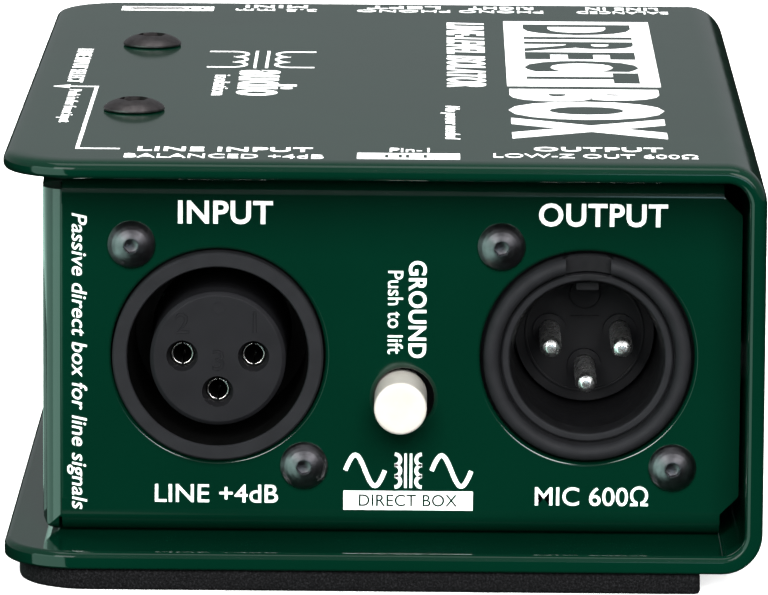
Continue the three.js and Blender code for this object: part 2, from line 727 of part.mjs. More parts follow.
function transformer() {
  const { x, y, width, depth, height, wall } = TRANSFORMER;
  const group = new THREE.Group();
  group.position.set(x, y, BOARD_TOP + GAP);
  const halfW = width / 2;
  const halfD = depth / 2;
  const can = cut(
    block([-halfW, halfW], [-halfD, halfD], [0, height]),
    block([wall - halfW, halfW - wall], [wall - halfD, halfD - wall], [-1, height - wall]),
  );
  const windows = [-1, 1].map((side) =>
    block([side * 4.75 - 1.75, side * 4.75 + 1.75], [-9, 9], [3.5, 13.5]),
  );
  const core = cut(block([-10, 10], [-6, 6], [0, 17]), ...windows);
  const coil = cut(block([-6.2, 6.2], [-9.6, 9.6], [4, 13]), block([-3.3, 3.3], [-6.3, 6.3], [3, 14]));
  group.add(
    part("transformer_can", can, CAN_METAL),
    part("transformer_core", core, CAN_METAL),
    part("transformer_winding", coil, COPPER),
  );
  return group;
}

// A body with two wire legs that go down through the board
function withLegs(body, half, level) {
  const legs = [-half, half].map((x) => post(LEG_RADIUS, BOARD.base - 1 - level, 0, x, 0, WIRE));
  return joined([body, ...legs]);
}

function smallParts() {
  const level = BOARD_TOP + 1.6;
  const half = RESISTOR_SPAN / 2;
  const wire = bar(LEG_RADIUS, -half - LEG_RADIUS, half + LEG_RADIUS, 0, 0, WIRE);
  const resistor = withLegs(bar(1.15, -3.15, 3.15, 0, 0, COARSE).add(wire), half, level);
  const resistors = RESISTORS.map((y, i) =>
    part(`resistor_${i + 1}`, resistor, TAN, { x: RESISTOR_X, y, z: level }),
  );
  const film = withLegs(block([-3.6, 3.6], [-1.75, 1.75], [-1, 5.5]), 2.5, level);
  const capacitors = CAPACITORS.map((x, i) =>
    part(`capacitor_${i + 1}`, film, FILM_RED, { x, y: CAPACITOR_Y, z: level }),
  );
  return [...resistors, ...capacitors];
}

function basePad() {
  const { left, right, halfDepth, cornerLeft, cornerRight } = PAD;
  const plan = roundedPlan(left, right, halfDepth, cornerLeft, cornerRight);
  return alongZ(plan, 0, PAD_THICKNESS - PAINT_GAP);
}

const box = new THREE.Group();
box.add(
  part("outer_sleeve", outerSleeve(), GREEN_PAINT),
  part("inner_chassis", innerChassis(), GREEN_PAINT),
  part("base_pad", basePad(), BLACK_FOAM),
  ...caseScrews(),
  connector("xlr_input", INPUT_CENTRE, inputHousing(), inputInsert(), {
    name: "contact",
    places: SOCKETS.map(({ x, z }) => ({ x, z: z - INSERT_DROP })),
    make: inputContact,
    finish: GOLD,
  }),
  connector("xlr_output", OUTPUT_CENTRE, outputHousing(), outputInsert(), {
    name: "pin",
    places: PINS,
    make: outputPin,
    finish: SILVER,
  }),
  pushButton("ground_lift", GROUND_LIFT.proud, { x: GROUND_LIFT.x, y: -CHASSIS_HALF_DEPTH, turnZ: 0 }),
  pushButton("input_select", INPUT_SELECT.proud, {
    x: CHASSIS_LEFT,
    y: INPUT_SELECT.y,
    turnZ: -Math.PI / 2,
  }),
  pushButton("merge", MERGE.proud, { x: MERGE.x, y: CHASSIS_HALF_DEPTH, turnZ: Math.PI }),
  phonoSocket("left", PHONO.left),
  phonoSocket("right", PHONO.right),
  miniJack(),
  lineJack(),
  part("circuit_board", circuitBoard(), BOARD_GREEN),
  ...boardFixings(),
  transformer(),
  ...smallParts(),
);

export default box;
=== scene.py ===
import json
import math

import bmesh
import bpy
from mathutils import Matrix, Vector, noise

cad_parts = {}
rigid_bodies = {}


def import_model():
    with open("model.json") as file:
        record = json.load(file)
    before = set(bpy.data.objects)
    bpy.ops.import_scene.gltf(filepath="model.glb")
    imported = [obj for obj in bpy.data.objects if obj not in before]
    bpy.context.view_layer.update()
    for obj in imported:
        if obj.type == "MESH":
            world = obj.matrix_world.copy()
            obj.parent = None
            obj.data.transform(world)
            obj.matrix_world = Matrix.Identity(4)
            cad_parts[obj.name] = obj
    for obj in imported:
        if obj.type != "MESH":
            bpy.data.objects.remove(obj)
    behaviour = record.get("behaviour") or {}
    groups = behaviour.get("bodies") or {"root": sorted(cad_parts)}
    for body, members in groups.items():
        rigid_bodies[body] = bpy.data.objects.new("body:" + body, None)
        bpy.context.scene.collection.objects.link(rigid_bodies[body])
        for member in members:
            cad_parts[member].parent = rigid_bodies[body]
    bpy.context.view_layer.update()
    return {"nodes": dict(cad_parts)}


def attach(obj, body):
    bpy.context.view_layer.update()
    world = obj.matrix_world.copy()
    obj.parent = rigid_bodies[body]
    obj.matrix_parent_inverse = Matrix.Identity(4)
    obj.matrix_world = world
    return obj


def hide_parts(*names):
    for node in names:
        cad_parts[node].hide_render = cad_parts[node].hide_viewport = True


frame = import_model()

# The looks of a passive direct injection box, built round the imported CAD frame.
# Numbers are millimetres in the frame's axes: X right, Y to the rear, Z up. MM turns them to metres.
# Camera and light numbers that say so, and the floor's, are metres.

MM = 0.001
SCENE = bpy.context.scene

# Case
FRONT_Y = -54.0
REAR_Y = 54.0
LEFT_X = -37.9
TOP_Z = 48.0
WIDTH = 84.0
HALF_DEPTH = 63.5
SHEET = 2.0
PAD_TOP = 2.4
SLEEVE_BEND = 4.5
SLEEVE_CORNER = 8.5
BEND_LENGTH = math.pi / 2 * SLEEVE_BEND
WALL_LENGTH = TOP_Z - PAD_TOP - 2 * SLEEVE_BEND
FLAT_LENGTH = WIDTH - SLEEVE_BEND
SHEET_LENGTH = 2 * FLAT_LENGTH + 2 * BEND_LENGTH + WALL_LENGTH
CASE_SCREW_X = -28.8
CASE_SCREW_Y = {"front": -26.5, "rear": 24.7}
PAINT_GAP = 0.1

# Connectors
INPUT = (-18.3, 24.85)
OUTPUT = (22.65, 24.9)
HOLE_RADIUS = 11.9
HOLE_ROUNDING = 0.5
RECUT = 0.2
BODY_RADIUS = 11.7
BODY_REAR = 19
SCREW_OFFSET = (9.6, 12.4)
INSERT_FACE = -0.8
INSERT_DROP = 0.3
PIN_TIP = 3.4
CAVITY_FLOOR = 15.0
LEG_FOOT = 13.5
PINS = ((3.96, 0.3), (-3.96, 0.3), (0.0, -3.7))
SOCKETS = tuple((-x, z - INSERT_DROP) for x, z in PINS)

# Buttons and rear sockets
BUTTON_Z = 20.1
BUTTON_HOLE = 3.92
SMALL_ROUNDING = 0.42
GROUND_HOLE = 3.35
GROUND_X = 2.0
GROUND_HOLE_X = 2.35
SELECT_Y = -9.1
MERGE_X = -28.1
MINI = (-14.5, 19.9)
PHONO = {"left": (1.0, 23.2), "right": (14.2, 23.2)}
PHONO_HOLE = 4.47
LINE = (28.9, 24.2)
SOCKET_FOOT = 16.4

# Camera: where it stands, how it is turned in degrees, and its lens in millimetres
EYE = (5.187, -812.617, 170.414)
YAW, PITCH, ROLL = -0.38638, 10.37918, 0.38881
LENS = 326.435


# ---------------------------------------------------------------- places

def at_front(x, z):
    return Matrix.Translation((x, FRONT_Y, z))


def at_rear(x, z):
    return Matrix.Translation((x, REAR_Y, z)) @ Matrix.Rotation(math.pi, 4, "Z")


def at_left(y, z):
    return Matrix.Translation((LEFT_X, y, z)) @ Matrix.Rotation(-math.pi / 2, 4, "Z")


def at_top(x, y, z=TOP_Z):
    return Matrix.Translation((x, y, z)) @ Matrix.Rotation(-math.pi / 2, 4, "X")


def at_bottom(x, y):
    return Matrix.Translation((x, y, PAD_TOP)) @ Matrix.Rotation(math.pi / 2, 4, "X")


# ---------------------------------------------------------------- meshes, in millimetres

def mesh_of(bm, place=None):
    if place is not None:
        bmesh.ops.transform(bm, matrix=place, verts=bm.verts)
    bmesh.ops.recalc_face_normals(bm, faces=bm.faces)
    mesh = bpy.data.meshes.new("made")
    bm.to_mesh(mesh)
    bm.free()
    return mesh


def temporary(mesh):
    obj = bpy.data.objects.new("temporary", mesh)
    SCENE.collection.objects.link(obj)
    return obj


def baked(obj):
    """The mesh of obj with its modifiers applied; obj is removed."""
    bpy.context.view_layer.update()
    graph = bpy.context.evaluated_depsgraph_get()
    mesh = bpy.data.meshes.new_from_object(obj.evaluated_get(graph), depsgraph=graph)
    bpy.data.objects.remove(obj)
    return mesh


def boolean(base, tools, own=False):
    """The base less the tools. own copes with tools that cross themselves."""
    obj = temporary(base)
    helpers = [temporary(tool) for tool in tools]
    for helper in helpers:
        step = obj.modifiers.new("boolean", "BOOLEAN")
        step.operation = "DIFFERENCE"
        step.solver = "EXACT"
        step.use_self = own
        step.object = helper
    mesh = baked(obj)
    for helper in helpers:
        bpy.data.objects.remove(helper)
    return mesh


def merged(*meshes):
    bm = bmesh.new()
    for mesh in meshes:
        bm.from_mesh(mesh)
    mesh = bpy.data.meshes.new("made")
    bm.to_mesh(mesh)
    bm.free()
    return mesh


def bevelled(mesh, width, degrees=40):
    obj = temporary(mesh)
    step = obj.modifiers.new("bevel", "BEVEL")
    step.width = width
    step.segments = 2
    step.limit_method = "ANGLE"
    step.angle_limit = math.radians(degrees)
    step.use_clamp_overlap = True
    return baked(obj)


def filleted(points, radius, steps=4):
    """An open outline with its inner corners rounded. A point's third number is its own radius."""
    made = [points[0][:2]]
    for before, corner, after in zip(points, points[1:], points[2:]):
        wanted = corner[2] if len(corner) > 2 else radius
        here = Vector(corner[:2])
        back, ahead = Vector(before[:2]) - here, Vector(after[:2]) - here
        if wanted <= 0 or min(back.length, ahead.length) < 1e-6:
            made.append(tuple(here))
            continue
        half = back.angle(ahead) / 2
        reach = min(wanted / math.tan(half), back.length * 0.48, ahead.length * 0.48)
        start, end = here + back.normalized() * reach, here + ahead.normalized() * reach
        for i in range(steps + 1):
            t = i / steps
            made.append(tuple(start * (1 - t) ** 2 + here * (2 * t * (1 - t)) + end * t**2))
    made.append(points[-1][:2])
    return made


def lathe(profile, sides, closed=False, place=None):
    """Turns (radius, y) points about Y. A radius of 0 closes on the axis."""
    bm = bmesh.new()
    rings = []
    for radius, y in profile:
        count = sides if radius > 1e-6 else 1
        turns = [2 * math.pi * i / sides for i in range(count)]
        rings.append([bm.verts.new((radius * math.cos(a), y, radius * math.sin(a))) for a in turns])
    pairs = list(zip(rings, rings[1:]))
    if closed:
        pairs.append((rings[-1], rings[0]))
    for one, two in pairs:
        for i in range(sides):
            j = (i + 1) % sides
            corners = [one[i % len(one)], one[j % len(one)], two[j % len(two)], two[i % len(two)]]
            corners = list(dict.fromkeys(corners))
            if len(corners) > 2:
                bm.faces.new(corners)
    return mesh_of(bm, place)


def rod(radius, y0, y1, sides, place=None):
    """A plain cylinder along Y."""
    return lathe([(0, y0), (radius, y0), (radius, y1), (0, y1)], sides, place=place)


def prism(points, y0, y1):
    """A closed prism along Y with the (x, z) outline."""
    bm = bmesh.new()
    near = [bm.verts.new((x, y0, z)) for x, z in points]
    far = [bm.verts.new((x, y1, z)) for x, z in points]
    bm.faces.new(near)
    bm.faces.new(far[::-1])
    for i in range(len(points)):
        j = (i + 1) % len(points)
        bm.faces.new((near[i], far[i], far[j], near[j]))
    return mesh_of(bm)


def polygon(radius, sides, turn=0.0):
    steps = [turn + 2 * math.pi * i / sides for i in range(sides)]
    return [(radius * math.cos(a), radius * math.sin(a)) for a in steps]


def plan(left, right, front, rear, corners, steps):
    """A rectangle's outline, rounded at the front left, front right, rear right and rear left."""
    spots = ((left, front, 180, 1, 1), (right, front, 270, -1, 1),
             (right, rear, 0, -1, -1), (left, rear, 90, 1, -1))
    points = []
    for (x, y, start, sx, sy), radius in zip(spots, corners):
        for i in range(steps + 1):
            a = math.radians(start + 90 * i / steps)
            points.append((x + sx * radius + radius * math.cos(a), y + sy * radius + radius * math.sin(a)))
    return points


def bar(left, right, low, high, y0, y1, corner, steps):
    """A bar along Y whose long edges are rounded."""
    return prism(plan(left, right, low, high, (corner,) * 4, steps), y0, y1)


def hole_cutter(radius, rounding, depth, place, sides=128):
    """Cuts a hole whose edge at the face, y = 0, is rounded."""
    turns = [math.radians(90 * i / 5) for i in range(6)]
    flare = [(radius + rounding * (1 - math.sin(a)), rounding * (1 - math.cos(a))) for a in turns]
    profile = [(0, -1), (radius + rounding, -1), *flare, (radius, depth), (0, depth)]
    return lathe(profile, sides, place=place)


# ---------------------------------------------------------------- finishes

class Finish:
    """A node material in the making: its shader, and a coordinate in object space."""

    def __init__(self, name, **sockets):
        self.material = bpy.data.materials.new(name)
        self.material.use_nodes = True
        self.nodes = self.material.node_tree.nodes
        self.links = self.material.node_tree.links
        self.shader = self.nodes["Principled BSDF"]
        self.coordinate = self.nodes.new("ShaderNodeTexCoord").outputs["Object"]
        for key, value in sockets.items():
            self.shader.inputs[key.replace("_", " ")].default_value = value

    def noise(self, size, detail=3.0, stretch=None):
        node = self.nodes.new("ShaderNodeTexNoise")
        node.inputs["Scale"].default_value = 1 / (size * MM)
        node.inputs["Detail"].default_value = detail
        if stretch:
            mapping = self.nodes.new("ShaderNodeMapping")
            mapping.inputs["Scale"].default_value = stretch
            self.links.new(self.coordinate, mapping.inputs["Vector"])
            self.links.new(mapping.outputs["Vector"], node.inputs["Vector"])
        else:
            self.links.new(self.coordinate, node.inputs["Vector"])
        return node.outputs["Fac"]

    def cells(self, size):
        node = self.nodes.new("ShaderNodeTexVoronoi")
        node.inputs["Scale"].default_value = 1 / (size * MM)
        self.links.new(self.coordinate, node.inputs["Vector"])
        return node.outputs["Distance"]

    def bands(self, size, axis, distortion):
        node = self.nodes.new("ShaderNodeTexWave")
        node.bands_direction = axis
        node.inputs["Scale"].default_value = 0.314 / (size * MM)
        node.inputs["Distortion"].default_value = distortion
        self.links.new(self.coordinate, node.inputs["Vector"])
        return node.outputs["Fac"]

    def ramp(self, value, stops):
        node = self.nodes.new("ShaderNodeValToRGB")
        marks = node.color_ramp.elements
        while len(marks) < len(stops):
            marks.new(0.5)
        for mark, (place, colour) in zip(marks, stops):
            mark.position = place
            mark.color = (*colour, 1)
        self.links.new(value, node.inputs["Fac"])
        return node.outputs["Color"]

    def range(self, value, low, high):
        node = self.nodes.new("ShaderNodeMapRange")
        node.inputs["From Min"].default_value = 0.3
        node.inputs["From Max"].default_value = 0.7
        node.inputs["To Min"].default_value = low
        node.inputs["To Max"].default_value = high
        self.links.new(value, node.inputs["Value"])
        return node.outputs["Result"]

    def colour(self, value):
        self.links.new(value, self.shader.inputs["Base Color"])

    def roughness(self, value):
        self.links.new(value, self.shader.inputs["Roughness"])

    def bump(self, value, height, after=None):
        node = self.nodes.new("ShaderNodeBump")
        node.inputs["Strength"].default_value = 1.0
        node.inputs["Distance"].default_value = height * MM
        self.links.new(value, node.inputs["Height"])
        if after:
            self.links.new(after, node.inputs["Normal"])
        self.links.new(node.outputs["Normal"], self.shader.inputs["Normal"])
        return node.outputs["Normal"]


def paint():
    """Gloss powder coat over steel: a faint orange peel, and tone that drifts a little."""
    made = Finish("gloss_green_paint", IOR=1.5)
    drift = made.noise(26.0, 2.0)
    made.colour(made.ramp(drift, [(0.35, (0.00015, 0.0120, 0.0060)), (0.65, (0.0002, 0.0135, 0.0068))]))
    made.roughness(made.range(made.noise(6.0, 3.0), 0.07, 0.11))
    peel = made.bump(made.noise(2.2, 1.0), 0.004)
    made.bump(made.noise(0.12, 2.0), 0.0004, after=peel)
    return made.material


def ink_white():
    made = Finish("white_ink", IOR=1.45)
    made.colour(made.ramp(made.noise(0.5, 5.0), [(0.3, (0.86, 0.87, 0.86)), (0.6, (0.95, 0.95, 0.94))]))
    made.roughness(made.range(made.noise(1.2), 0.4, 0.6))
    made.bump(made.noise(0.18, 3.0), 0.003)
    return made.material


def foam():
    made = Finish("black_cell_foam", IOR=1.4, Specular_IOR_Level=0.1)
    grain = made.noise(0.22, 5.0)
    stops = [(0.34, (0.0014, 0.0014, 0.0015)), (0.52, (0.0035, 0.0035, 0.0038)),
             (0.74, (0.012, 0.012, 0.013))]
    made.colour(made.ramp(grain, stops))
    made.roughness(made.range(made.noise(1.5), 0.85, 0.98))
    cells = made.bump(made.cells(0.3), 0.06)
    made.bump(made.noise(0.12, 4.0), 0.03, after=cells)
    return made.material


def plastic(name, dark, light, low, high, grain=0.25, height=0.006, **sockets):
    made = Finish(name, IOR=1.5, **sockets)
    made.colour(made.ramp(made.noise(1.8, 5.0), [(0.3, dark), (0.7, light)]))
    made.roughness(made.range(made.noise(0.9, 4.0), low, high))
    made.bump(made.noise(grain, 3.0), height)
    return made.material


def metal(name, dark, light, low, high, grain=0.3, height=0.003, stretch=None):
    made = Finish(name, Metallic=1.0)
    made.colour(made.ramp(made.noise(0.8, 5.0), [(0.3, dark), (0.7, light)]))
    made.roughness(made.range(made.noise(0.5, 5.0), low, high))
    made.bump(made.noise(grain, 3.0, stretch), height)
    return made.material


def board_mask():
    made = Finish("board_solder_mask", IOR=1.5)
    tracks = made.cells(2.2)
    made.colour(made.ramp(tracks, [(0.28, (0.006, 0.055, 0.02)), (0.4, (0.012, 0.11, 0.035))]))
    made.roughness(made.range(made.noise(1.5), 0.25, 0.4))
    made.bump(tracks, 0.04)
    return made.material


def winding():
    made = Finish("enamelled_wire", Metallic=1.0)
    turns = made.bands(0.25, "Z", 0.4)
    made.colour(made.ramp(turns, [(0.1, (0.10, 0.02, 0.006)), (0.8, (0.55, 0.19, 0.07))]))
    made.roughness(made.range(made.noise(0.4), 0.28, 0.42))
    made.bump(turns, 0.1)
    return made.material


def resistor():
    made = Finish("resistor_coat", IOR=1.5)
    stripes = made.bands(2.0, "X", 0.1)
    stops = [(0.0, (0.55, 0.36, 0.18)), (0.84, (0.60, 0.42, 0.22)), (0.9, (0.16, 0.03, 0.02))]
    made.colour(made.ramp(stripes, stops))
    made.roughness(made.range(made.noise(0.6), 0.35, 0.5))
    made.bump(made.noise(0.3), 0.01)
    return made.material


PAINT = paint()
INK = ink_white()
FOAM = foam()
SHELL = plastic("black_moulding", (0.0065, 0.0067, 0.0076), (0.0090, 0.0093, 0.0105), 0.62, 0.74,
                Specular_IOR_Level=0.1)
INSERT = plastic("charcoal_moulding", (0.0042, 0.0042, 0.0050), (0.0060, 0.0060, 0.0070), 0.6, 0.72,
                 Specular_IOR_Level=0.1)
# A darker black than the other mouldings. On the output's cavity floor it is the insert's own black, darkened
# as painted shade for its depth. On the cavity's walls and inside the input's bores it is painted shade.
BLACK_INSERT_AND_PAINTED_SHADE = plastic("black_insert_and_painted_shade", (0.0020, 0.0020, 0.0024), (0.0034, 0.0034, 0.0039), 0.45, 0.55,
               Specular_IOR_Level=0.12)
# Near-black plastic that is painted shade: the walls of the input's bore and the insides of the socket
# contacts.
PAINTED_SHADE_BORE = plastic("painted_shade_bore", (0.001, 0.001, 0.001), (0.002, 0.002, 0.002), 0.5, 0.6,
                    Specular_IOR_Level=0.05)
CREAM = plastic("white_cap", (0.36, 0.343, 0.305), (0.40, 0.383, 0.345), 0.4, 0.55, 0.6, 0.004)
RUBBER = plastic("black_switch", (0.010, 0.010, 0.011), (0.016, 0.016, 0.017), 0.5, 0.65)
RED_FILM = plastic("red_film", (0.20, 0.018, 0.010), (0.28, 0.03, 0.016), 0.3, 0.45)
BLACK_STEEL = metal("black_oxide_steel", (0.14, 0.136, 0.145), (0.20, 0.193, 0.208), 0.3, 0.42)
GREY_STEEL = metal("satin_grey_steel", (0.13, 0.118, 0.118), (0.20, 0.183, 0.183), 0.36, 0.5)
SILVER = metal("silver_plate", (0.84, 0.84, 0.83), (0.95, 0.95, 0.94), 0.22, 0.32)
NICKEL = metal("nickel_plate", (0.58, 0.57, 0.54), (0.72, 0.71, 0.68), 0.16, 0.3)
GOLD = metal("gold_plate", (0.62, 0.40, 0.12), (0.83, 0.58, 0.22), 0.16, 0.28)
CAN = metal("drawn_can", (0.42, 0.43, 0.44), (0.56, 0.57, 0.58), 0.3, 0.45, 0.5, 0.006, (1, 1, 0.1))
BOARD = board_mask()
WINDING = winding()
RESISTOR = resistor()


# ---------------------------------------------------------------- pieces

def piece(name, mesh, material, body="case", replaces=(), sharp=35, inner=None, is_inner=None):
    """Turns a mesh in millimetres into a piece. Faces whose middle is_inner picks take the inner material, a
    darker black that paints the shade in hollows.
    """
    mesh.materials.clear()
    mesh.materials.append(material)
    if inner:
        mesh.materials.append(inner)
        for face in mesh.polygons:
            face.material_index = 1 if is_inner(face.center) else 0
    mesh.transform(Matrix.Scale(MM, 4))
    mesh.name = name
    mesh.shade_smooth()
    mesh.set_sharp_from_angle(angle=math.radians(sharp))
    obj = bpy.data.objects.new(name, mesh)
    SCENE.collection.objects.link(obj)
    weighted = obj.modifiers.new("weighted_normals", "WEIGHTED_NORMAL")
    weighted.keep_sharp = True
    weighted.weight = 80
    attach(obj, body)
    if replaces:
        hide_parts(*replaces)
    return obj


# Case

def folded(s, y, t):
    """Where a point of the flat sheet lies once folded: s from the top's left end, t below the outer face."""
    right, bend = WIDTH / 2, SLEEVE_BEND
    bend_x = right - bend
    if s <= FLAT_LENGTH:
        return (s - right, y, TOP_Z - t)
    s -= FLAT_LENGTH
    if s <= BEND_LENGTH:
        a = s / bend
        return (bend_x + (bend - t) * math.sin(a), y, TOP_Z - bend + (bend - t) * math.cos(a))
    s -= BEND_LENGTH
    if s <= WALL_LENGTH:
        return (right - t, y, TOP_Z - bend - s)
    s -= WALL_LENGTH
    if s <= BEND_LENGTH:
        a = s / bend
        return (bend_x + (bend - t) * math.cos(a), y, PAD_TOP + bend - (bend - t) * math.sin(a))
    return (bend_x - (s - BEND_LENGTH), y, PAD_TOP + t)


def sheet_side(inset, stations):
    """Points (s, half width) along one side of the flat sheet, its edge moved in by inset."""
    reach = SLEEVE_CORNER - inset
    middle = HALF_DEPTH - SLEEVE_CORNER
    turns = [math.radians(90 * i / 14) for i in range(15)]
    start = [(SLEEVE_CORNER - reach * math.cos(a), middle + reach * math.sin(a)) for a in turns]
    end = [(SHEET_LENGTH - s, w) for s, w in start[::-1]]
    return [*start, *[(s, HALF_DEPTH - inset) for s in stations], *end]


# The rounded edge at the top plate's end of the sheet and at the bottom's, as (inset, depth in the sheet).
TOP_RIM = [(2.6, 0.0), (1.9, 0.015), (1.3, 0.055), (0.85, 0.12), (0.5, 0.24), (0.24, 0.42), (0.07, 0.68),
           (0.0, 0.95), (0.0, 1.4), (0.06, 1.64), (0.2, 1.83), (0.4, 1.95), (0.65, 2.0)]
LOW_RIM = [(0.5, 0.0), (0.42, 0.005), (0.34, 0.02), (0.26, 0.045), (0.17, 0.09), (0.09, 0.16), (0.03, 0.25),
           (0.0, 0.36), (0.0, 1.3), (0.07, 1.55), (0.22, 1.78), (0.45, 1.93), (0.75, 2.0)]


def sleeve():
    """The folded sleeve, made as a flat sheet with a rolled and rounded rim, and then folded."""
    wall_start = FLAT_LENGTH + BEND_LENGTH
    bends = [BEND_LENGTH * i / 12 for i in range(13)]
    stations = [FLAT_LENGTH + s for s in bends] + [wall_start + WALL_LENGTH + s for s in bends]
    bm = bmesh.new()
    rings = []
    for top, low in zip(TOP_RIM, LOW_RIM):
        sides = [sheet_side(inset, stations) for inset, _ in (top, low)]
        side = []
        for one, two in zip(*sides):
            share = min(1, max(0, (one[0] - wall_start) / WALL_LENGTH))
            share = share * share * (3 - 2 * share)
            s, w, t = (a + (b - a) * share for a, b in zip((*one, top[1]), (*two, low[1])))
            side.append((s, w, t))
        front = [bm.verts.new(folded(s, -w, t)) for s, w, t in side]
        rear = [bm.verts.new(folded(s, w, t)) for s, w, t in side]
        rings.append(front + rear[::-1])
    for one, two in zip(rings, rings[1:]):
        for i in range(len(one)):
            j = (i + 1) % len(one)
            bm.faces.new((one[i], one[j], two[j], two[i]))
    for ring in (rings[0], rings[-1]):
        half = len(ring) // 2
        for i in range(half - 1):
            bm.faces.new((ring[i], ring[i + 1], ring[-2 - i], ring[-1 - i]))
    mesh = mesh_of(bm)
    countersink = [(0, -0.6), (3.8, -0.6), (3.4, 0), (2.3, 1.4), (2.3, 4), (0, 4)]
    tools = []
    for y in CASE_SCREW_Y.values():
        tools.append(hole_cutter(2.3, 0.3, 4, at_top(CASE_SCREW_X, y), 48))
        tools.append(lathe(countersink, 32, place=at_bottom(CASE_SCREW_X, y)))
    return piece("sleeve", boolean(mesh, tools), PAINT, replaces=["outer_sleeve"], sharp=40)


def narrowed(bm, x, z, radius):
    """Draws in the rim of a hole in the front, so that it can be cut again to radius with a soft edge."""
    rim = radius - RECUT
    for v in bm.verts:
        away = Vector((v.co.x - x, 0, v.co.z - z))
        if v.co.y < FRONT_Y + SHEET + 0.5 and rim < away.length < rim + 1:
            v.co += away.normalized() * rim - away


def chassis():
    """The folded chassis: the frame's own shape, with round holes whose painted edges are rounded."""
    bm = bmesh.new()
    bm.from_mesh(frame["nodes"]["inner_chassis"].data)
    bmesh.ops.transform(bm, matrix=Matrix.Scale(1 / MM, 4), verts=bm.verts)
    bmesh.ops.remove_doubles(bm, verts=bm.verts, dist=1e-3)
    bmesh.ops.dissolve_limit(bm, angle_limit=math.radians(1), verts=bm.verts, edges=bm.edges)
    for x, z in (INPUT, OUTPUT):
        narrowed(bm, x, z, HOLE_RADIUS)
    narrowed(bm, GROUND_HOLE_X, BUTTON_Z, GROUND_HOLE)
    mesh = bevelled(mesh_of(bm), 0.15, 60)
    tools = [hole_cutter(HOLE_RADIUS, HOLE_ROUNDING, 3, at_front(*INPUT)),
             hole_cutter(HOLE_RADIUS, HOLE_ROUNDING, 3, at_front(*OUTPUT)),
             hole_cutter(GROUND_HOLE, HOLE_ROUNDING, 3, at_front(GROUND_HOLE_X, BUTTON_Z), 64),
             hole_cutter(BUTTON_HOLE, SMALL_ROUNDING, 3, at_left(SELECT_Y, BUTTON_Z), 64),
             hole_cutter(BUTTON_HOLE, SMALL_ROUNDING, 3, at_rear(MERGE_X, BUTTON_Z), 64)]
    for spot in PHONO.values():
        tools.append(hole_cutter(PHONO_HOLE, SMALL_ROUNDING, 3, at_rear(*spot), 64))
    mesh = boolean(mesh, tools)
    return piece("chassis", mesh, PAINT, replaces=["inner_chassis"], sharp=28)


def pad():
    """The foam pad: a cut slab with soft arrises and slightly uneven cut sides."""
    left, right, half = -40.3, 35.2, 62.9
    thick = PAD_TOP - PAINT_GAP
    levels = [(0.5, 0.0), (0.16, 0.1), (0.0, 0.4), (0.0, 0.8), (0.0, 1.2), (0.0, 1.6), (0.0, thick - 0.35),
              (0.14, thick - 0.08), (0.45, thick)]
    bm = bmesh.new()
    rings = []
    for inset, z in levels:
        corners = (8.0 - inset, 0.8 - inset, 0.8 - inset, 8.0 - inset)
        outline = plan(left + inset, right - inset, -half + inset, half - inset, corners, 10)
        ring = []
        for one, two in zip(outline, outline[1:] + outline[:1]):
            span = (Vector(two) - Vector(one)).length
            count = max(1, round(span / 1.2)) if span > 4 else 1
            ring += [Vector(one).lerp(Vector(two), k / count) for k in range(count)]
        rings.append((ring, z))
    count = min(len(ring) for ring, _ in rings)
    loops = []
    for ring, z in rings:
        loop = []
        for x, y in ring[:count]:
            swell = 0.1 * noise.noise(Vector((x * 0.9, y * 0.9, z * 1.4)))
            away = Vector((x + 2, y, 0)).normalized() * swell
            loop.append(bm.verts.new((x + away.x, y + away.y, z)))
        loops.append(loop)
    for one, two in zip(loops, loops[1:]):
        for i in range(count):
            j = (i + 1) % count
            bm.faces.new((one[i], one[j], two[j], two[i]))
    bm.faces.new(loops[0][::-1])
    bm.faces.new(loops[-1])
    obj = piece("foam_pad", mesh_of(bm), FOAM, replaces=["base_pad"], sharp=60)
    return obj


# Screws

def button_screw(head, height, shank, length, socket, place):
    """A domed head with a hex socket, its underside at y = 0."""
    turns = [math.radians(i * 10) for i in range(1, 8)]
    wide, drop = math.sin(turns[-1]), 1 - math.cos(turns[-1])
    fall = height - 0.25
    dome = [(head * math.sin(a) / wide, -height + fall * (1 - math.cos(a)) / drop) for a in turns]
    profile = [(0, -height), *dome, (head, 0), (shank, 0), (shank, length), (0, length)]
    body = lathe(filleted(profile, 0.08, 3), 64)
    deep = height * 0.62
    cutter = prism(polygon(socket, 6, math.radians(12)), -height - 1, -height + deep)
    cone = lathe([(0, -height + deep + 0.4), (socket * 0.86, -height + deep - 0.02),
                  (socket * 0.86, -height - 1), (0, -height - 1)], 24)
    flare = lathe([(0, -height + 0.1), (socket * 0.98, -height + 0.1), (socket * 1.2, -height - 0.3),
                   (0, -height - 0.3)], 48)
    mesh = boolean(body, [cutter, cone, flare])
    mesh.transform(place)
    return mesh


def screws():
    for side, y in CASE_SCREW_Y.items():
        mesh = button_screw(3.5, 1.4, 2, 7, 1.75, at_top(CASE_SCREW_X, y, TOP_Z + PAINT_GAP))
        node = f"case_screw_top_{side}"
        piece(f"{node}_visual", mesh, GREY_STEEL, replaces=[node])
    proud = Matrix.Translation((0, -PAINT_GAP, 0))
    for name, (x, z) in (("xlr_input", INPUT), ("xlr_output", OUTPUT)):
        for level, sign in (("upper", 1), ("lower", -1)):
            place = at_front(x - sign * SCREW_OFFSET[0], z + sign * SCREW_OFFSET[1])
            mesh = button_screw(2.65, 1.5, 1.5, 6, 0.86, place @ proud)
            node = f"{name}_screw_{level}"
            piece(f"{node}_visual", mesh, BLACK_STEEL, replaces=[node])


# Connectors

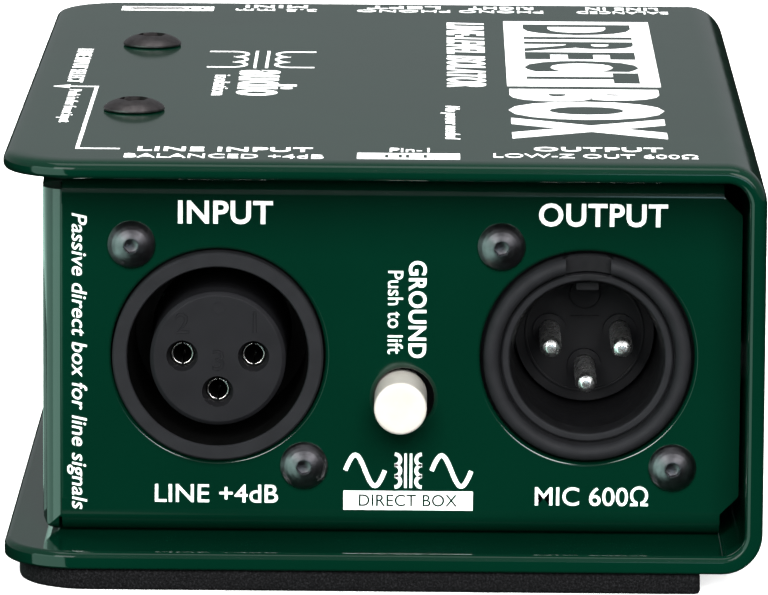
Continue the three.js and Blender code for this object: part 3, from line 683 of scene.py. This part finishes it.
def flange(place):
    """A connector's mounting plate behind the panel."""
    dx, dz = SCREW_OFFSET
    tools = [rod(1.8, 0, 9, 32, Matrix.Translation((-side * dx, 0, side * dz))) for side in (1, -1)]
    tools.append(rod(BODY_RADIUS - 0.5, 0, 9, 96))
    mesh = bevelled(boolean(bar(-13, 13, -15.5, 15.5, 2.3, 4.3, 3, 8), tools), 0.25)
    mesh.transform(place)
    return mesh


def contact_leg(height):
    """The end of a contact, bent down through the board from an axis at this height."""
    return bar(-0.6, 0.6, LEG_FOOT - height, 0.6, 21.4, 22.6, 0.15, 3)


def input_connector():
    place = at_front(*INPUT)
    profile = [(9.72, 1.6), (10.06, -1.04), (10.2, -1.2, 0.05), (11.5, -1.2, 0.08), (11.7, -1.0, 0.1),
               (11.7, 8, 0), (11.7, BODY_REAR, 0.2), (7.85, BODY_REAR, 0.1), (7.85, 15, 0.1), (9.72, 15, 0),
               (9.72, 1.6)]
    shell = lathe(filleted(profile, 0.15)[:-1], 128, closed=True, place=place)

    # Faces inside the bore take the near-black material: painted shade on the bore's walls.
    def within(spot):
        return math.hypot(spot.x - INPUT[0], spot.z - INPUT[1]) < 10.05

    piece("xlr_input_shell", merged(shell, flange(place)), SHELL,
          replaces=["xlr_input_housing"], inner=PAINTED_SHADE_BORE, is_inner=within)
    input_face(place)
    for i, (x, z) in enumerate(SOCKETS):
        input_socket(i, x, z)


def input_face(place):
    """The insulating insert with its three bores, a raised dot and the moulded numerals."""
    face = INSERT_FACE
    profile = [(0, face), (7.1, face), (7.55, face + 0.35, 0.3), (7.55, 8, 0), (7.55, BODY_REAR, 0.2),
               (0, BODY_REAR)]
    body = lathe(filleted(profile, 0.3), 128, place=Matrix.Translation((0, 0, -INSERT_DROP)))
    bore = [(0, -2), (1.78, -2), (1.74, face + 0.1), (1.7, face + 0.55), (1.4, face + 1.05), (1.37, 3),
            (2.0, 3.01), (2.0, 20), (0, 20)]
    body = boolean(body, [lathe(bore, 48, place=Matrix.Translation((x, 0, z))) for x, z in SOCKETS])
    marks = [numeral("1", 4.05, 3.85), numeral("2", -3.95, 3.75), numeral("3", 0.05, -0.4)]
    dot = [(0.62, face + 0.1), (0.62, face - 0.09), (0.8, face - 0.09), (0.8, face + 0.1)]
    dot = lathe(dot, 40, closed=True, place=Matrix.Translation((0.05, 0, 5.4)))
    mesh = merged(body, dot, *marks)
    mesh.transform(place)

    # Faces inside the three bores take the darker black: painted shade.
    def in_bore(spot):
        near = min(math.hypot(spot.x - INPUT[0] - x, spot.z - INPUT[1] - z) for x, z in SOCKETS)
        return near < 1.5 and spot.y > FRONT_Y - 0.3

    piece("xlr_input_face", mesh, INSERT, replaces=["xlr_input_insert"],
          inner=BLACK_INSERT_AND_PAINTED_SHADE, is_inner=in_bore)


def input_socket(index, x, z):
    """A turned socket contact with a slit, and the leg that runs back and down through the board."""
    place = at_front(INPUT[0] + x, INPUT[1] + z)
    profile = [(1.0, 13), (1.0, 0.9), (1.08, 0.72, 0.05), (1.2, 0.72, 0.05), (1.3, 0.86), (1.3, 3.2, 0),
               (1.6, 3.5, 0.1), (1.6, 16, 0.1), (0.6, 16.2), (0.6, 22.2), (0, 22.2), (0, 13)]
    barrel = lathe(filleted(profile, 0.06, 3), 48, closed=True)
    slit = bar(-0.12, 0.12, -2.5, 2.5, 0, 8, 0.02, 1)
    mesh = merged(boolean(barrel, [slit]), contact_leg(INPUT[1] + z))
    mesh.transform(place)

    # The contact's inside takes the near-black material: painted shade in place of the nickel.
    def bored(spot):
        away = math.hypot(spot.x - place.translation.x, spot.z - place.translation.z)
        return away < 1.05 and spot.y < FRONT_Y + 16

    piece(f"input_socket_{index + 1}", mesh, NICKEL, replaces=[f"xlr_input_contact_{index + 1}"],
          inner=PAINTED_SHADE_BORE, is_inner=bored)


def output_connector():
    place = at_front(*OUTPUT)
    turns = [math.radians(a) for a in range(0, 181, 15)]
    crown = [(9.78 + 0.86 * (1 - math.cos(a)), -0.75 - 0.85 * math.sin(a)) for a in turns]
    profile = [(8.2, BODY_REAR), (8.2, 1.4), (8.5, 0.35), (8.66, 0.0), (8.8, -0.12), (9.35, -0.12),
               (9.55, 0.1), (9.62, 0.55), (9.74, 0.55), *crown, (11.5, 0.2), (11.5, 2), (11.7, 2.3),
               (11.7, BODY_REAR)]
    body = lathe(filleted(profile, 0.06, 2), 128, closed=True)
    body = boolean(body, [bar(-2.5, 2.5, 8.9, 13, -3, -0.12, 0.2, 3)])
    rib = bevelled(bar(-1.3, 1.3, 7.2, 8.6, 1.8, CAVITY_FLOOR - 1, 0.2, 3), 0.15)
    mesh = merged(body, rib)
    mesh.transform(place)

    # The cavity's walls and the notch take the darker black: painted shade.
    def within(spot):
        x, z = spot.x - OUTPUT[0], spot.z - OUTPUT[1]
        in_notch = abs(x) < 2.52 and 8.85 < z < 11.3 and spot.y > FRONT_Y - 0.3
        return math.hypot(x, z) < 8.58 or in_notch

    piece("xlr_output_shell", merged(mesh, flange(place)), SHELL,
          replaces=["xlr_output_housing"], inner=BLACK_INSERT_AND_PAINTED_SHADE, is_inner=within)
    output_floor(place)
    for i, (x, z) in enumerate(PINS):
        output_pin(i, x, z)


def output_floor(place):
    """The cavity's floor, with a boss round each pin, a ridge, a key and a bar."""
    top, foot = CAVITY_FLOOR, CAVITY_FLOOR + 0.2
    disc = filleted([(0, top), (7.88, top), (7.88, BODY_REAR), (0, BODY_REAR)], 0.1)
    parts = [lathe(disc, 96)]
    boss = [(1.26, foot), (1.26, top - 0.5), (1.9, top - 0.5), (1.9, foot)]
    for x, z in PINS:
        parts.append(lathe(boss, 48, closed=True, place=Matrix.Translation((x, 0, z))))
    ridge = filleted([(6.5, foot), (6.5, top - 0.3), (6.75, top - 0.3), (6.75, foot)], 0.05, 2)
    parts.append(lathe(ridge, 96, closed=True))
    key = filleted([(0, top - 0.6), (1.75, top - 0.6), (1.75, foot), (0, foot)], 0.15)
    parts.append(lathe(key, 40, place=Matrix.Translation((0, 0, 4.6))))
    parts.append(bar(-1.6, 1.6, 1.75, 1.95, top - 0.25, foot, 0.05, 2))
    mesh = merged(*parts)
    mesh.transform(place)
    # The floor takes the darker black: the insert's own black, with painted shade for the cavity's depth.
    piece("xlr_output_floor", mesh, BLACK_INSERT_AND_PAINTED_SHADE, replaces=["xlr_output_insert"])


def output_pin(index, x, z):
    profile = [(0, 0), (0.55, 0.05), (0.95, 0.32), (1.15, 0.85), (1.2, 1.5), (1.2, 16), (0, 16)]
    pin = lathe(filleted(profile, 0.3), 64, place=Matrix.Translation((0, PIN_TIP, 0)))
    mesh = merged(pin, rod(0.6, 19, 22.2, 24), contact_leg(OUTPUT[1] + z))
    mesh.transform(at_front(OUTPUT[0] + x, OUTPUT[1] + z))
    piece(f"output_pin_{index + 1}", mesh, SILVER, replaces=[f"xlr_output_pin_{index + 1}"])


# Buttons

def button(name, proud, place):
    back = 8.2 - proud
    profile = [(0, -proud + 0.04), (2.2, -proud), (2.92, -proud, 0.4), (2.92, back - 1), (2.92, back, 0.15),
               (1.5, back, 0.1), (1.5, back - 4), (0, back - 4)]
    mesh = lathe(filleted(profile, 0.2), 96, place=place)
    piece(f"{name}_cap", mesh, CREAM, body=f"{name}_slider", replaces=[f"{name}_button"])


# Rear sockets

def ridged(radius, y0, y1, pitch=0.75, depth=0.28):
    """The outside of a thread as rings, from y0 to y1."""
    points = []
    for i in range(int((y1 - y0) / pitch)):
        y = y0 + i * pitch
        points += [(radius - depth, y), (radius, y + pitch * 0.4), (radius, y + pitch * 0.6)]
    return [*points, (radius - depth, y1)]


def phono_socket(side, spot):
    place = at_rear(*spot)
    barrel = [(3.3, 3.8), (3.3, -8.1), (3.55, -8.5, 0.1), (3.95, -8.5, 0.15), (4.15, -8.2, 0.2),
              (4.15, -1, 0), (4.15, 3.8, 0.1), (3.3, 3.8)]
    mesh = lathe(filleted(barrel, 0.12)[:-1], 96, closed=True, place=place)
    piece(f"phono_{side}_shell", mesh, NICKEL, replaces=[f"phono_{side}_barrel"])
    nose = [(1.6, 8), (1.6, -7.4), (1.85, -7.9, 0.1), (2.75, -7.9, 0.15), (3.0, -7.6, 0.15), (3.0, 8),
            (1.6, 8)]
    nose = lathe(filleted(nose, 0.1)[:-1], 64, closed=True)
    foot = SOCKET_FOOT - spot[1]
    block = boolean(bar(-5.2, 5.2, foot, 6, 4.4, 12.5, 0.6, 4), [rod(3.01, 1, 6, 64)])
    collar = boolean(bar(-5.2, 5.2, foot, 6, 2.3, 4.41, 0.6, 4), [rod(4.45, 1, 6, 64)])
    mesh = merged(nose, block, collar)
    mesh.transform(place)
    piece(f"phono_{side}_core", mesh, SHELL, replaces=[f"phono_{side}_insulator"])


def mini_jack():
    place = at_rear(*MINI)
    nose = [(1.85, 11), (1.85, -2.3), (2.1, -2.6, 0.1), (2.7, -2.6, 0.1), *ridged(3.0, -2.3, 2.0, 0.5, 0.18),
            (2.9, 11), (1.85, 11)]
    nose = lathe(filleted(nose, 0.05, 2)[:-1], 64, closed=True)
    half = MINI[1] - SOCKET_FOOT
    casing = boolean(bar(-4.3, 4.3, -half, half, 2.3, 13.5, 0.5, 4), [rod(2.91, 1, 12.5, 48)])
    mesh = merged(nose, casing)
    mesh.transform(place)
    piece("mini_jack_socket", mesh, SHELL, replaces=["mini_jack_body"])
    nut = slotted_nut(4.1, 3.25, -2.3, -0.3)
    nut.transform(place)
    piece("mini_jack_collar", nut, NICKEL, replaces=["mini_jack_nut"])


def line_jack():
    place = at_rear(*LINE)
    tube = [(3.3, 22), (3.3, -4.2), (3.6, -4.5, 0.1), (4.2, -4.5, 0.1), *ridged(4.7, -4.2, 1.8),
            (4.55, 22), (3.3, 22)]
    mesh = lathe(filleted(tube, 0.05, 2)[:-1], 96, closed=True, place=place)
    piece("line_jack_tube", mesh, NICKEL, replaces=["line_jack_sleeve"])
    ring = [(5.0, -0.3), (5.0, -0.8), (6.9, -0.8), (6.9, -0.3)]
    mesh = bevelled(lathe(ring, 96, closed=True, place=place), 0.12)
    piece("line_jack_ring", mesh, NICKEL, replaces=["line_jack_washer"])
    chamfer = [(6.3, -4), (6.3, -3.21), (7.5, -2.6), (9, -2.6), (9, -4)]
    nut = boolean(prism(polygon(7.2, 6), -3.2, -1.1), [lathe(chamfer, 96, closed=True), rod(5.0, -5, 0, 96)])
    nut = bevelled(nut, 0.1)
    nut.transform(place)
    piece("line_jack_hex", nut, NICKEL, replaces=["line_jack_nut"])


def slotted_nut(radius, bore, y0, y1):
    """A round nut with a milled rim and two driver slots."""
    blank = lathe([(bore, y0), (radius, y0), (radius, y1), (bore, y1)], 96, closed=True)
    tools = [bar(left, right, -0.4, 0.4, y0 - 1, y0 + 0.7, 0.1, 2)
             for left, right in ((bore - 1, radius + 1), (-radius - 1, 1 - bore))]
    for i in range(24):
        a = 2 * math.pi * (i + 0.5) / 24
        spot = Matrix.Translation((radius * 1.02 * math.cos(a), 0, radius * 1.02 * math.sin(a)))
        tools.append(rod(0.2, y0 - 1, y1 + 1, 8, spot))
    return bevelled(boolean(blank, tools), 0.08)


# ---------------------------------------------------------------- lettering and print

def text_mesh(curve):
    """A text curve as a mesh to edit."""
    obj = bpy.data.objects.new("text", curve)
    SCENE.collection.objects.link(obj)
    bm = bmesh.new()
    bm.from_mesh(baked(obj))
    return bm


def lettering(text, bold, slant):
    """The text as a flat solid in XY, one unit thick."""
    curve = bpy.data.curves.new("text", "FONT")
    curve.body = text
    curve.size = 10
    curve.offset = bold
    curve.shear = slant
    curve.extrude = 0.5
    curve.space_character = 1 + 0.3 * bold
    curve.resolution_u = 4
    bm = text_mesh(curve)
    bmesh.ops.remove_doubles(bm, verts=bm.verts, dist=1e-3)
    return bm


def numeral(text, x, z):
    """A numeral moulded on the input's face as a thin raised outline, 2.4 mm tall."""
    curve = bpy.data.curves.new("numeral", "FONT")
    curve.body = text
    curve.size = 3.3
    curve.extrude = 0
    curve.fill_mode = "NONE"
    curve.bevel_depth = 0.075
    curve.bevel_resolution = 2
    curve.resolution_u = 5
    bm = text_mesh(curve)
    bmesh.ops.remove_doubles(bm, verts=bm.verts, dist=1e-4)
    low, high = extent(bm)
    middle = (low + high) / 2
    for v in bm.verts:
        v.co = Vector((x + v.co.x - middle.x, INSERT_FACE - v.co.z, z + v.co.y - middle.y))
    return mesh_of(bm)


def extent(bm):
    low = Vector([min(v.co[i] for v in bm.verts) for i in range(3)])
    high = Vector([max(v.co[i] for v in bm.verts) for i in range(3)])
    return low, high


INK_LOW, INK_HIGH = -0.03, 0.03
FACES = {
    "front": lambda u, v, w: Vector((u, FRONT_Y - w, v)),
    "top": lambda u, v, w: Vector((u, v, TOP_Z + w)),
    "rear": lambda u, v, w: Vector((u, REAR_Y + w, v)),
    "left": lambda u, v, w: Vector((LEFT_X - w, u, v)),
}
printed = {face: [] for face in FACES}


def placed(bm, face, box, turn, low=INK_LOW, high=INK_HIGH):
    """Fits flat lettering to the box (u0, u1, v0, v1) of a face. turn is how it lies there."""
    u0, u1, v0, v1 = box
    start, end = extent(bm)
    for v in bm.verts:
        s = (v.co.x - start.x) / (end.x - start.x)
        t = (v.co.y - start.y) / (end.y - start.y)
        if turn == "across":
            a, b = s, t
        elif turn == "down":
            a, b = t, 1 - s
        elif turn == "mirrored":
            a, b = 1 - s, t
        else:
            a, b = 1 - s, 1 - t
        v.co = FACES[face](u0 + a * (u1 - u0), v0 + b * (v1 - v0), high if v.co.z > 0 else low)
    return mesh_of(bm)


def words(face, text, box, turn="across", bold=0.0, slant=0.0):
    printed[face].append(placed(lettering(text, bold, slant), face, box, turn))


def inked(face, outline):
    """A thin solid of ink with the (u, v) outline."""
    bm = bmesh.new()
    lows = [bm.verts.new(FACES[face](u, v, INK_LOW)) for u, v in outline]
    highs = [bm.verts.new(FACES[face](u, v, INK_HIGH)) for u, v in outline]
    bm.faces.new(lows)
    bm.faces.new(highs)
    for i in range(len(outline)):
        j = (i + 1) % len(outline)
        bm.faces.new((lows[i], lows[j], highs[j], highs[i]))
    return mesh_of(bm)


def reversed_words(face, text, box, inner, turn="across", bold=0.0):
    """A bar of ink with the words left out of it."""
    letters = placed(lettering(text, bold, 0.0), face, inner, turn, -1, 1)
    printed[face].append(boolean(inked(face, plan(*box, (0.02,) * 4, 4)), [letters], own=True))


def stroke(face, points, width):
    """A line of ink of one width through the points."""
    path = [Vector(p) for p in points]
    sides = []
    for i, here in enumerate(path):
        along = [(path[i + 1] - here).normalized()] if i < len(path) - 1 else []
        if i > 0:
            along.append((here - path[i - 1]).normalized())
        way = sum(along, Vector((0, 0))).normalized()
        across = Vector((-way.y, way.x))
        stretch = 1 / max(0.4, abs(across.dot(Vector((-along[0].y, along[0].x)))))
        sides.append((here + across * width / 2 * stretch, here - across * width / 2 * stretch))
    bm = bmesh.new()
    rows = []
    for one, two in sides:
        corners = ((one, INK_LOW), (two, INK_LOW), (two, INK_HIGH), (one, INK_HIGH))
        rows.append([bm.verts.new(FACES[face](*p, w)) for p, w in corners])
    for one, two in zip(rows, rows[1:]):
        for i in range(4):
            j = (i + 1) % 4
            bm.faces.new((one[i], one[j], two[j], two[i]))
    bm.faces.new(rows[0])
    bm.faces.new(rows[-1][::-1])
    printed[face].append(mesh_of(bm))


def wave(u0, u1, v, swing):
    """One turn of a sine from u0 to u1, about the level v."""
    shares = [i / 24 for i in range(25)]
    return [(u0 + (u1 - u0) * t, v + swing * math.sin(2 * math.pi * t)) for t in shares]


def coil(face, u, v, radius_u, radius_v, side, steps, width):
    """One turn of a winding: a half circle that is open towards its side."""
    start = -90 if side < 0 else 90
    turns = [math.radians(start + 180 * i / steps) for i in range(steps + 1)]
    stroke(face, [(u + radius_u * math.cos(a), v + radius_v * math.sin(a)) for a in turns], width)


def print_front():
    words("front", "INPUT", (-22.76, -12.26, 39.58, 42.2), bold=0.22)
    words("front", "OUTPUT", (17.13, 31.38, 39.58, 42.2), bold=0.22)
    words("front", "LINE +4dB", (-25.28, -11.58, 8.14, 10.19), bold=0.06)
    words("front", "MIC 600Ω", (17.03, 29.6, 8.06, 10.3), bold=0.06)
    words("front", "GROUND", (2.8, 4.8, 24.67, 35.6), "down", bold=0.22)
    words("front", "Push to lift", (0.5, 2.2, 25.1, 34.46), "down", bold=0.05)
    words("front", "Passive direct box for line signals", (-35.05, -32.83, 7.23, 40.68), "down", 0.06, 0.2)
    reversed_words("front", "DIRECT BOX", (-4.3, 10.1, 7.42, 9.58), (-2.6, 8.4, 7.82, 9.2), bold=0.1)
    stroke("front", wave(-4.1, 0.3, 11.9, 1.75), 0.5)
    stroke("front", wave(5.5, 9.9, 11.9, 1.75), 0.5)
    for side in (-1, 1):
        for k in range(3):
            coil("front", 2.9 + side * 1.5, 10.65 + k * 1.25, 0.62, 0.62, side, 10, 0.4)
        stroke("front", [(2.9 + side * 0.3, 9.95), (2.9 + side * 0.3, 13.85)], 0.28)


def print_top():
    words("top", "LINE INPUT", (-27.2, -7.9, -55.7, -52.9), bold=0.2)
    words("top", "BALANCED +4dB", (-28.5, -6.6, -60.3, -57.6))
    words("top", "OUTPUT", (16.5, 30.8, -53.9, -51.1), bold=0.2)
    words("top", "LOW-Z OUT 600Ω", (12.0, 34.5, -58.5, -55.7))
    words("top", "Pin-1", (0.6, 5.0, -55.2, -52.6), bold=0.05)
    reversed_words("top", "LIFT", (-2.96, 8.33, -60.06, -56.2), (0.1, 5.4, -59.4, -56.9), bold=0.15)
    stroke("top", [(-29.16, -54.4), (-33.89, -54.4), (-33.89, -9.1), (-37.2, -9.1)], 0.42)
    printed["top"].append(inked("top", [(-37.0, -10.3), (-37.0, -7.9), (-38.95, -9.1)]))
    words("top", "LINE INPUT SELECT", (-37.6, -35.7, -5.8, 20.9), "down", bold=0.18)
    words("top", "Push in for front input", (-37.4, -35.5, -35.9, -11.6), "down", bold=0.05)
    for side in (-1, 1):
        for k in range(3):
            coil("top", -15.2 + side * 3.4, 9.2 + k * 4.2, 1.6, 2.1, side, 14, 0.5)
        for y in (7.1, 19.7):
            stroke("top", [(-15.2 + side * 3.4, y), (-15.2 + side * 6.4, y)], 0.5)
        stroke("top", [(-15.2 + side * 0.7, 6.6), (-15.2 + side * 0.7, 20.2)], 0.35)
    words("top", "audio", (-17.6, -10.6, -15.0, 4.6), "down", bold=0.25)
    words("top", "isolation", (-20.4, -18.5, -15.0, 0.6), "down", bold=0.05)
    words("top", "LINE-LEVEL ISOLATOR", (6.9, 11.6, -7.2, 45.7), "down", bold=0.3, slant=0.15)
    words("top", "No power needed", (6.2, 8.4, -46.0, -22.0), "down", bold=0.05, slant=0.15)
    reversed_words("top", "DIRECT", (14.0, 32.0, -6.2, 47.3), (16.2, 29.8, -3.9, 45.0), "down", bold=0.45)
    words("top", "BOX", (14.0, 31.8, -45.1, -8.6), "down", bold=0.6)
    merge_box = (-33.9, -22.35, 54.8, 58.3)
    reversed_words("top", "MERGE", merge_box, (-32.6, -23.6, 55.5, 57.6), "around", bold=0.2)
    labels = (("MINI", "3.5 mm", -19.6, -9.35), ("LEFT", "PHONO", -4.3, 7.4),
              ("RIGHT", "PHONO", 8.5, 19.1), ("LINE IN", "BALANCED", 23.3, 34.8))
    for label, small, left, right in labels:
        words("top", label, (left + 1.2, right - 1.2, 57.9, 60.2), "around", bold=0.2)
        words("top", small, (left, right, 54.8, 56.8), "around", bold=0.05)


def print_rear():
    labels = (("MERGE", -32.6, -23.6), ("MINI", -17.9, -11.1), ("LEFT", -2.6, 4.6),
              ("RIGHT", 9.8, 18.6), ("LINE IN", 23.4, 34.4))
    for label, left, right in labels:
        words("rear", label, (left, right, 39.6, 41.9), "mirrored", bold=0.22)
    notes = (("Push to sum", -34.0, -22.2, 11.1), ("3.5 mm", -18.0, -11.0, 11.0),
             ("PHONO -10dB", 1.0, 14.2, 11.0), ("BALANCED +4dB", 21.4, 36.4, 11.0))
    for note, left, right, top in notes:
        words("rear", note, (left, right, 9.4, top), "mirrored", bold=0.05)
    words("left", "SELECT", (-13.6, -4.6, 28.6, 30.6), "mirrored", bold=0.2)
    words("left", "Push in", (-13.0, -5.2, 11.0, 12.8), "mirrored", bold=0.05)


def prints():
    print_front()
    print_top()
    print_rear()
    for face, meshes in printed.items():
        obj = piece(f"print_{face}", merged(*meshes), INK, sharp=30)
        obj.modifiers.clear()


# ---------------------------------------------------------------- carried-over nodes

CARRIED = {
    "circuit_board": BOARD,
    "board_standoff": GOLD,
    "board_screw": NICKEL,
    "transformer_can": CAN,
    "transformer_core": CAN,
    "transformer_winding": WINDING,
    "resistor": RESISTOR,
    "capacitor": RED_FILM,
    "case_screw_bottom": BLACK_STEEL,
    "line_jack_casing": SHELL,
    "ground_lift": RUBBER,
    "input_select": RUBBER,
    "merge": RUBBER,
}


def carried():
    """Gives the frame's nodes that no piece replaces a finish. Their names start with a key of CARRIED."""
    for name, node in frame["nodes"].items():
        if node.hide_render:
            continue
        if not node.material_slots:
            raise ValueError(f"{name} has no material slot")
        starts = [key for key in CARRIED if name.startswith(key)]
        material = SILVER if name.endswith("_spring") else CARRIED[starts[0]]
        for slot in node.material_slots:
            slot.material = material


# ---------------------------------------------------------------- camera, floor and light

def camera():
    yaw, pitch, roll = (math.radians(a) for a in (YAW, PITCH, ROLL))
    ahead = Vector((math.sin(yaw) * math.cos(pitch), math.cos(yaw) * math.cos(pitch), -math.sin(pitch)))
    level = Vector((math.cos(yaw), -math.sin(yaw), 0))
    above = level.cross(ahead)
    right = level * math.cos(roll) + above * math.sin(roll)
    up = -level * math.sin(roll) + above * math.cos(roll)
    data = bpy.data.cameras.new("camera")
    data.sensor_width = 36
    data.lens = LENS
    data.clip_start, data.clip_end = 0.05, 30
    obj = bpy.data.objects.new("camera", data)
    SCENE.collection.objects.link(obj)
    turn = Matrix((right, up, -ahead)).transposed().to_4x4()
    obj.matrix_world = Matrix.Translation(Vector(EYE) * MM) @ turn
    SCENE.camera = obj


def floor():
    bm = bmesh.new()
    bmesh.ops.create_grid(bm, x_segments=1, y_segments=1, size=8)
    mesh = bpy.data.meshes.new("floor")
    bm.to_mesh(mesh)
    bm.free()
    obj = bpy.data.objects.new("floor", mesh)
    SCENE.collection.objects.link(obj)
    made = Finish("pale_floor", Roughness=0.9, Specular_IOR_Level=0.0)
    made.colour(made.ramp(made.noise(400, 2.0), [(0.3, (0.80, 0.80, 0.80)), (0.7, (0.82, 0.82, 0.82))]))
    made.shader.inputs["Emission Color"].default_value = (1, 1, 1, 1)
    made.shader.inputs["Emission Strength"].default_value = 0.6
    mesh.materials.append(made.material)
    obj.visible_glossy = False
    obj.visible_diffuse = False


def soft_box(name, place, target, size, radiance, only, tint=(1, 1, 1)):
    """A rectangle of light in metres, seen by diffuse or by glossy rays only."""
    data = bpy.data.lights.new(name, "AREA")
    data.shape = "RECTANGLE"
    data.size, data.size_y = size
    data.energy = radiance * 4 * size[0] * size[1]
    data.color = tint
    obj = bpy.data.objects.new(name, data)
    SCENE.collection.objects.link(obj)
    obj.location = place
    obj.rotation_mode = "QUATERNION"
    obj.rotation_quaternion = (Vector(target) - Vector(place)).to_track_quat("-Z", "Y")
    obj.visible_camera = False
    obj.visible_diffuse = only == "diffuse"
    obj.visible_glossy = only == "glossy"
    return obj


GREENISH = (0.62, 1.0, 0.86)
BLUISH = (0.55, 0.85, 1.0)


def fills():
    """Broad lights for the tone, which the gloss doesn't mirror."""
    soft_box("fill_front", (0, -1.40, 0.75), (0, -0.05, 0.03), (1.2, 1.1), 16, "diffuse")
    soft_box("fill_top", (0, 0.50, 1.0), (0, 0.0, 0.04), (1.1, 0.9), 5, "diffuse")
    for side in (-1, 1):
        soft_box(f"fill_side_{side + 1}", (side * 0.95, 0.55, 0.5), (0, 0, 0.02), (0.7, 0.7), 4, "diffuse")


def cards():
    """Lights that are only there to be mirrored. Those linked to inside miss the sleeve and the screws."""
    inside = bpy.data.collections.new("all_but_the_sleeve")
    for obj in SCENE.objects:
        if obj.type == "MESH" and obj.name not in ("sleeve", "print_top") and "screw" not in obj.name:
            inside.objects.link(obj)
    middle = (0, -0.05, 0.02)
    for side in (-1, 1):
        place = Vector((side * 0.45, -1.05, 0.52))
        bright = soft_box(f"box_{side + 1}", place, middle, (0.62, 0.50), 13, "glossy")
        bright.light_linking.receiver_collection = inside
        soft_box(f"dim_box_{side + 1}", place * 1.1, middle, (0.68, 0.55), 2.0, "glossy")
    soft_box("card_over", (0, -0.1, 1.0), (0, 0, 0), (0.9, 0.6), 0.9, "glossy")
    soft_box("card_left", (-0.80, -0.74, -0.16), (-0.04, -0.05, 0.02), (1.05, 1.4), 1.3, "glossy", GREENISH)
    near = soft_box("card_left_near", (-0.25, 0.50, 0.07), (-0.04, 0.50, 0.07), (1.4, 0.26), 1.5, "glossy",
                    GREENISH)
    back = soft_box("card_left_back", (-0.42, 1.2, -0.25), (-0.42, 0, -0.25), (0.7, 0.6), 0.5, "glossy",
                    GREENISH)
    near.light_linking.receiver_collection = inside
    back.light_linking.receiver_collection = inside
    soft_box("card_glint", (0.25, -1.60, 0.10), (0, -0.05, 0.04), (0.38, 0.13), 2.4, "glossy", BLUISH)


def surroundings():
    """A pale even world above the level, and nearly black below it."""
    world = bpy.data.worlds.new("studio")
    SCENE.world = world
    world.use_nodes = True
    nodes, links = world.node_tree.nodes, world.node_tree.links
    way = nodes.new("ShaderNodeTexCoord")
    split = nodes.new("ShaderNodeSeparateXYZ")
    ramp = nodes.new("ShaderNodeValToRGB")
    links.new(way.outputs["Generated"], split.inputs["Vector"])
    links.new(split.outputs["Z"], ramp.inputs["Fac"])
    low, high = ramp.color_ramp.elements
    low.position, low.color = 0.0, (0.012, 0.012, 0.012, 1)
    high.position, high.color = 0.02, (0.245, 0.25, 0.262, 1)
    links.new(ramp.outputs["Color"], nodes["Background"].inputs["Color"])
    SCENE.view_settings.view_transform = "Standard"
    SCENE.view_settings.look = "None"


camera()
sleeve()
chassis()
pad()
screws()
input_connector()
output_connector()
button("ground_lift", 6.2, at_front(GROUND_X, BUTTON_Z))
button("input_select", 1.4, at_left(SELECT_Y, BUTTON_Z))
button("merge", 6.2, at_rear(MERGE_X, BUTTON_Z))
for side, spot in PHONO.items():
    phono_socket(side, spot)
mini_jack()
line_jack()
prints()
carried()
floor()
fills()
cards()
surroundings()
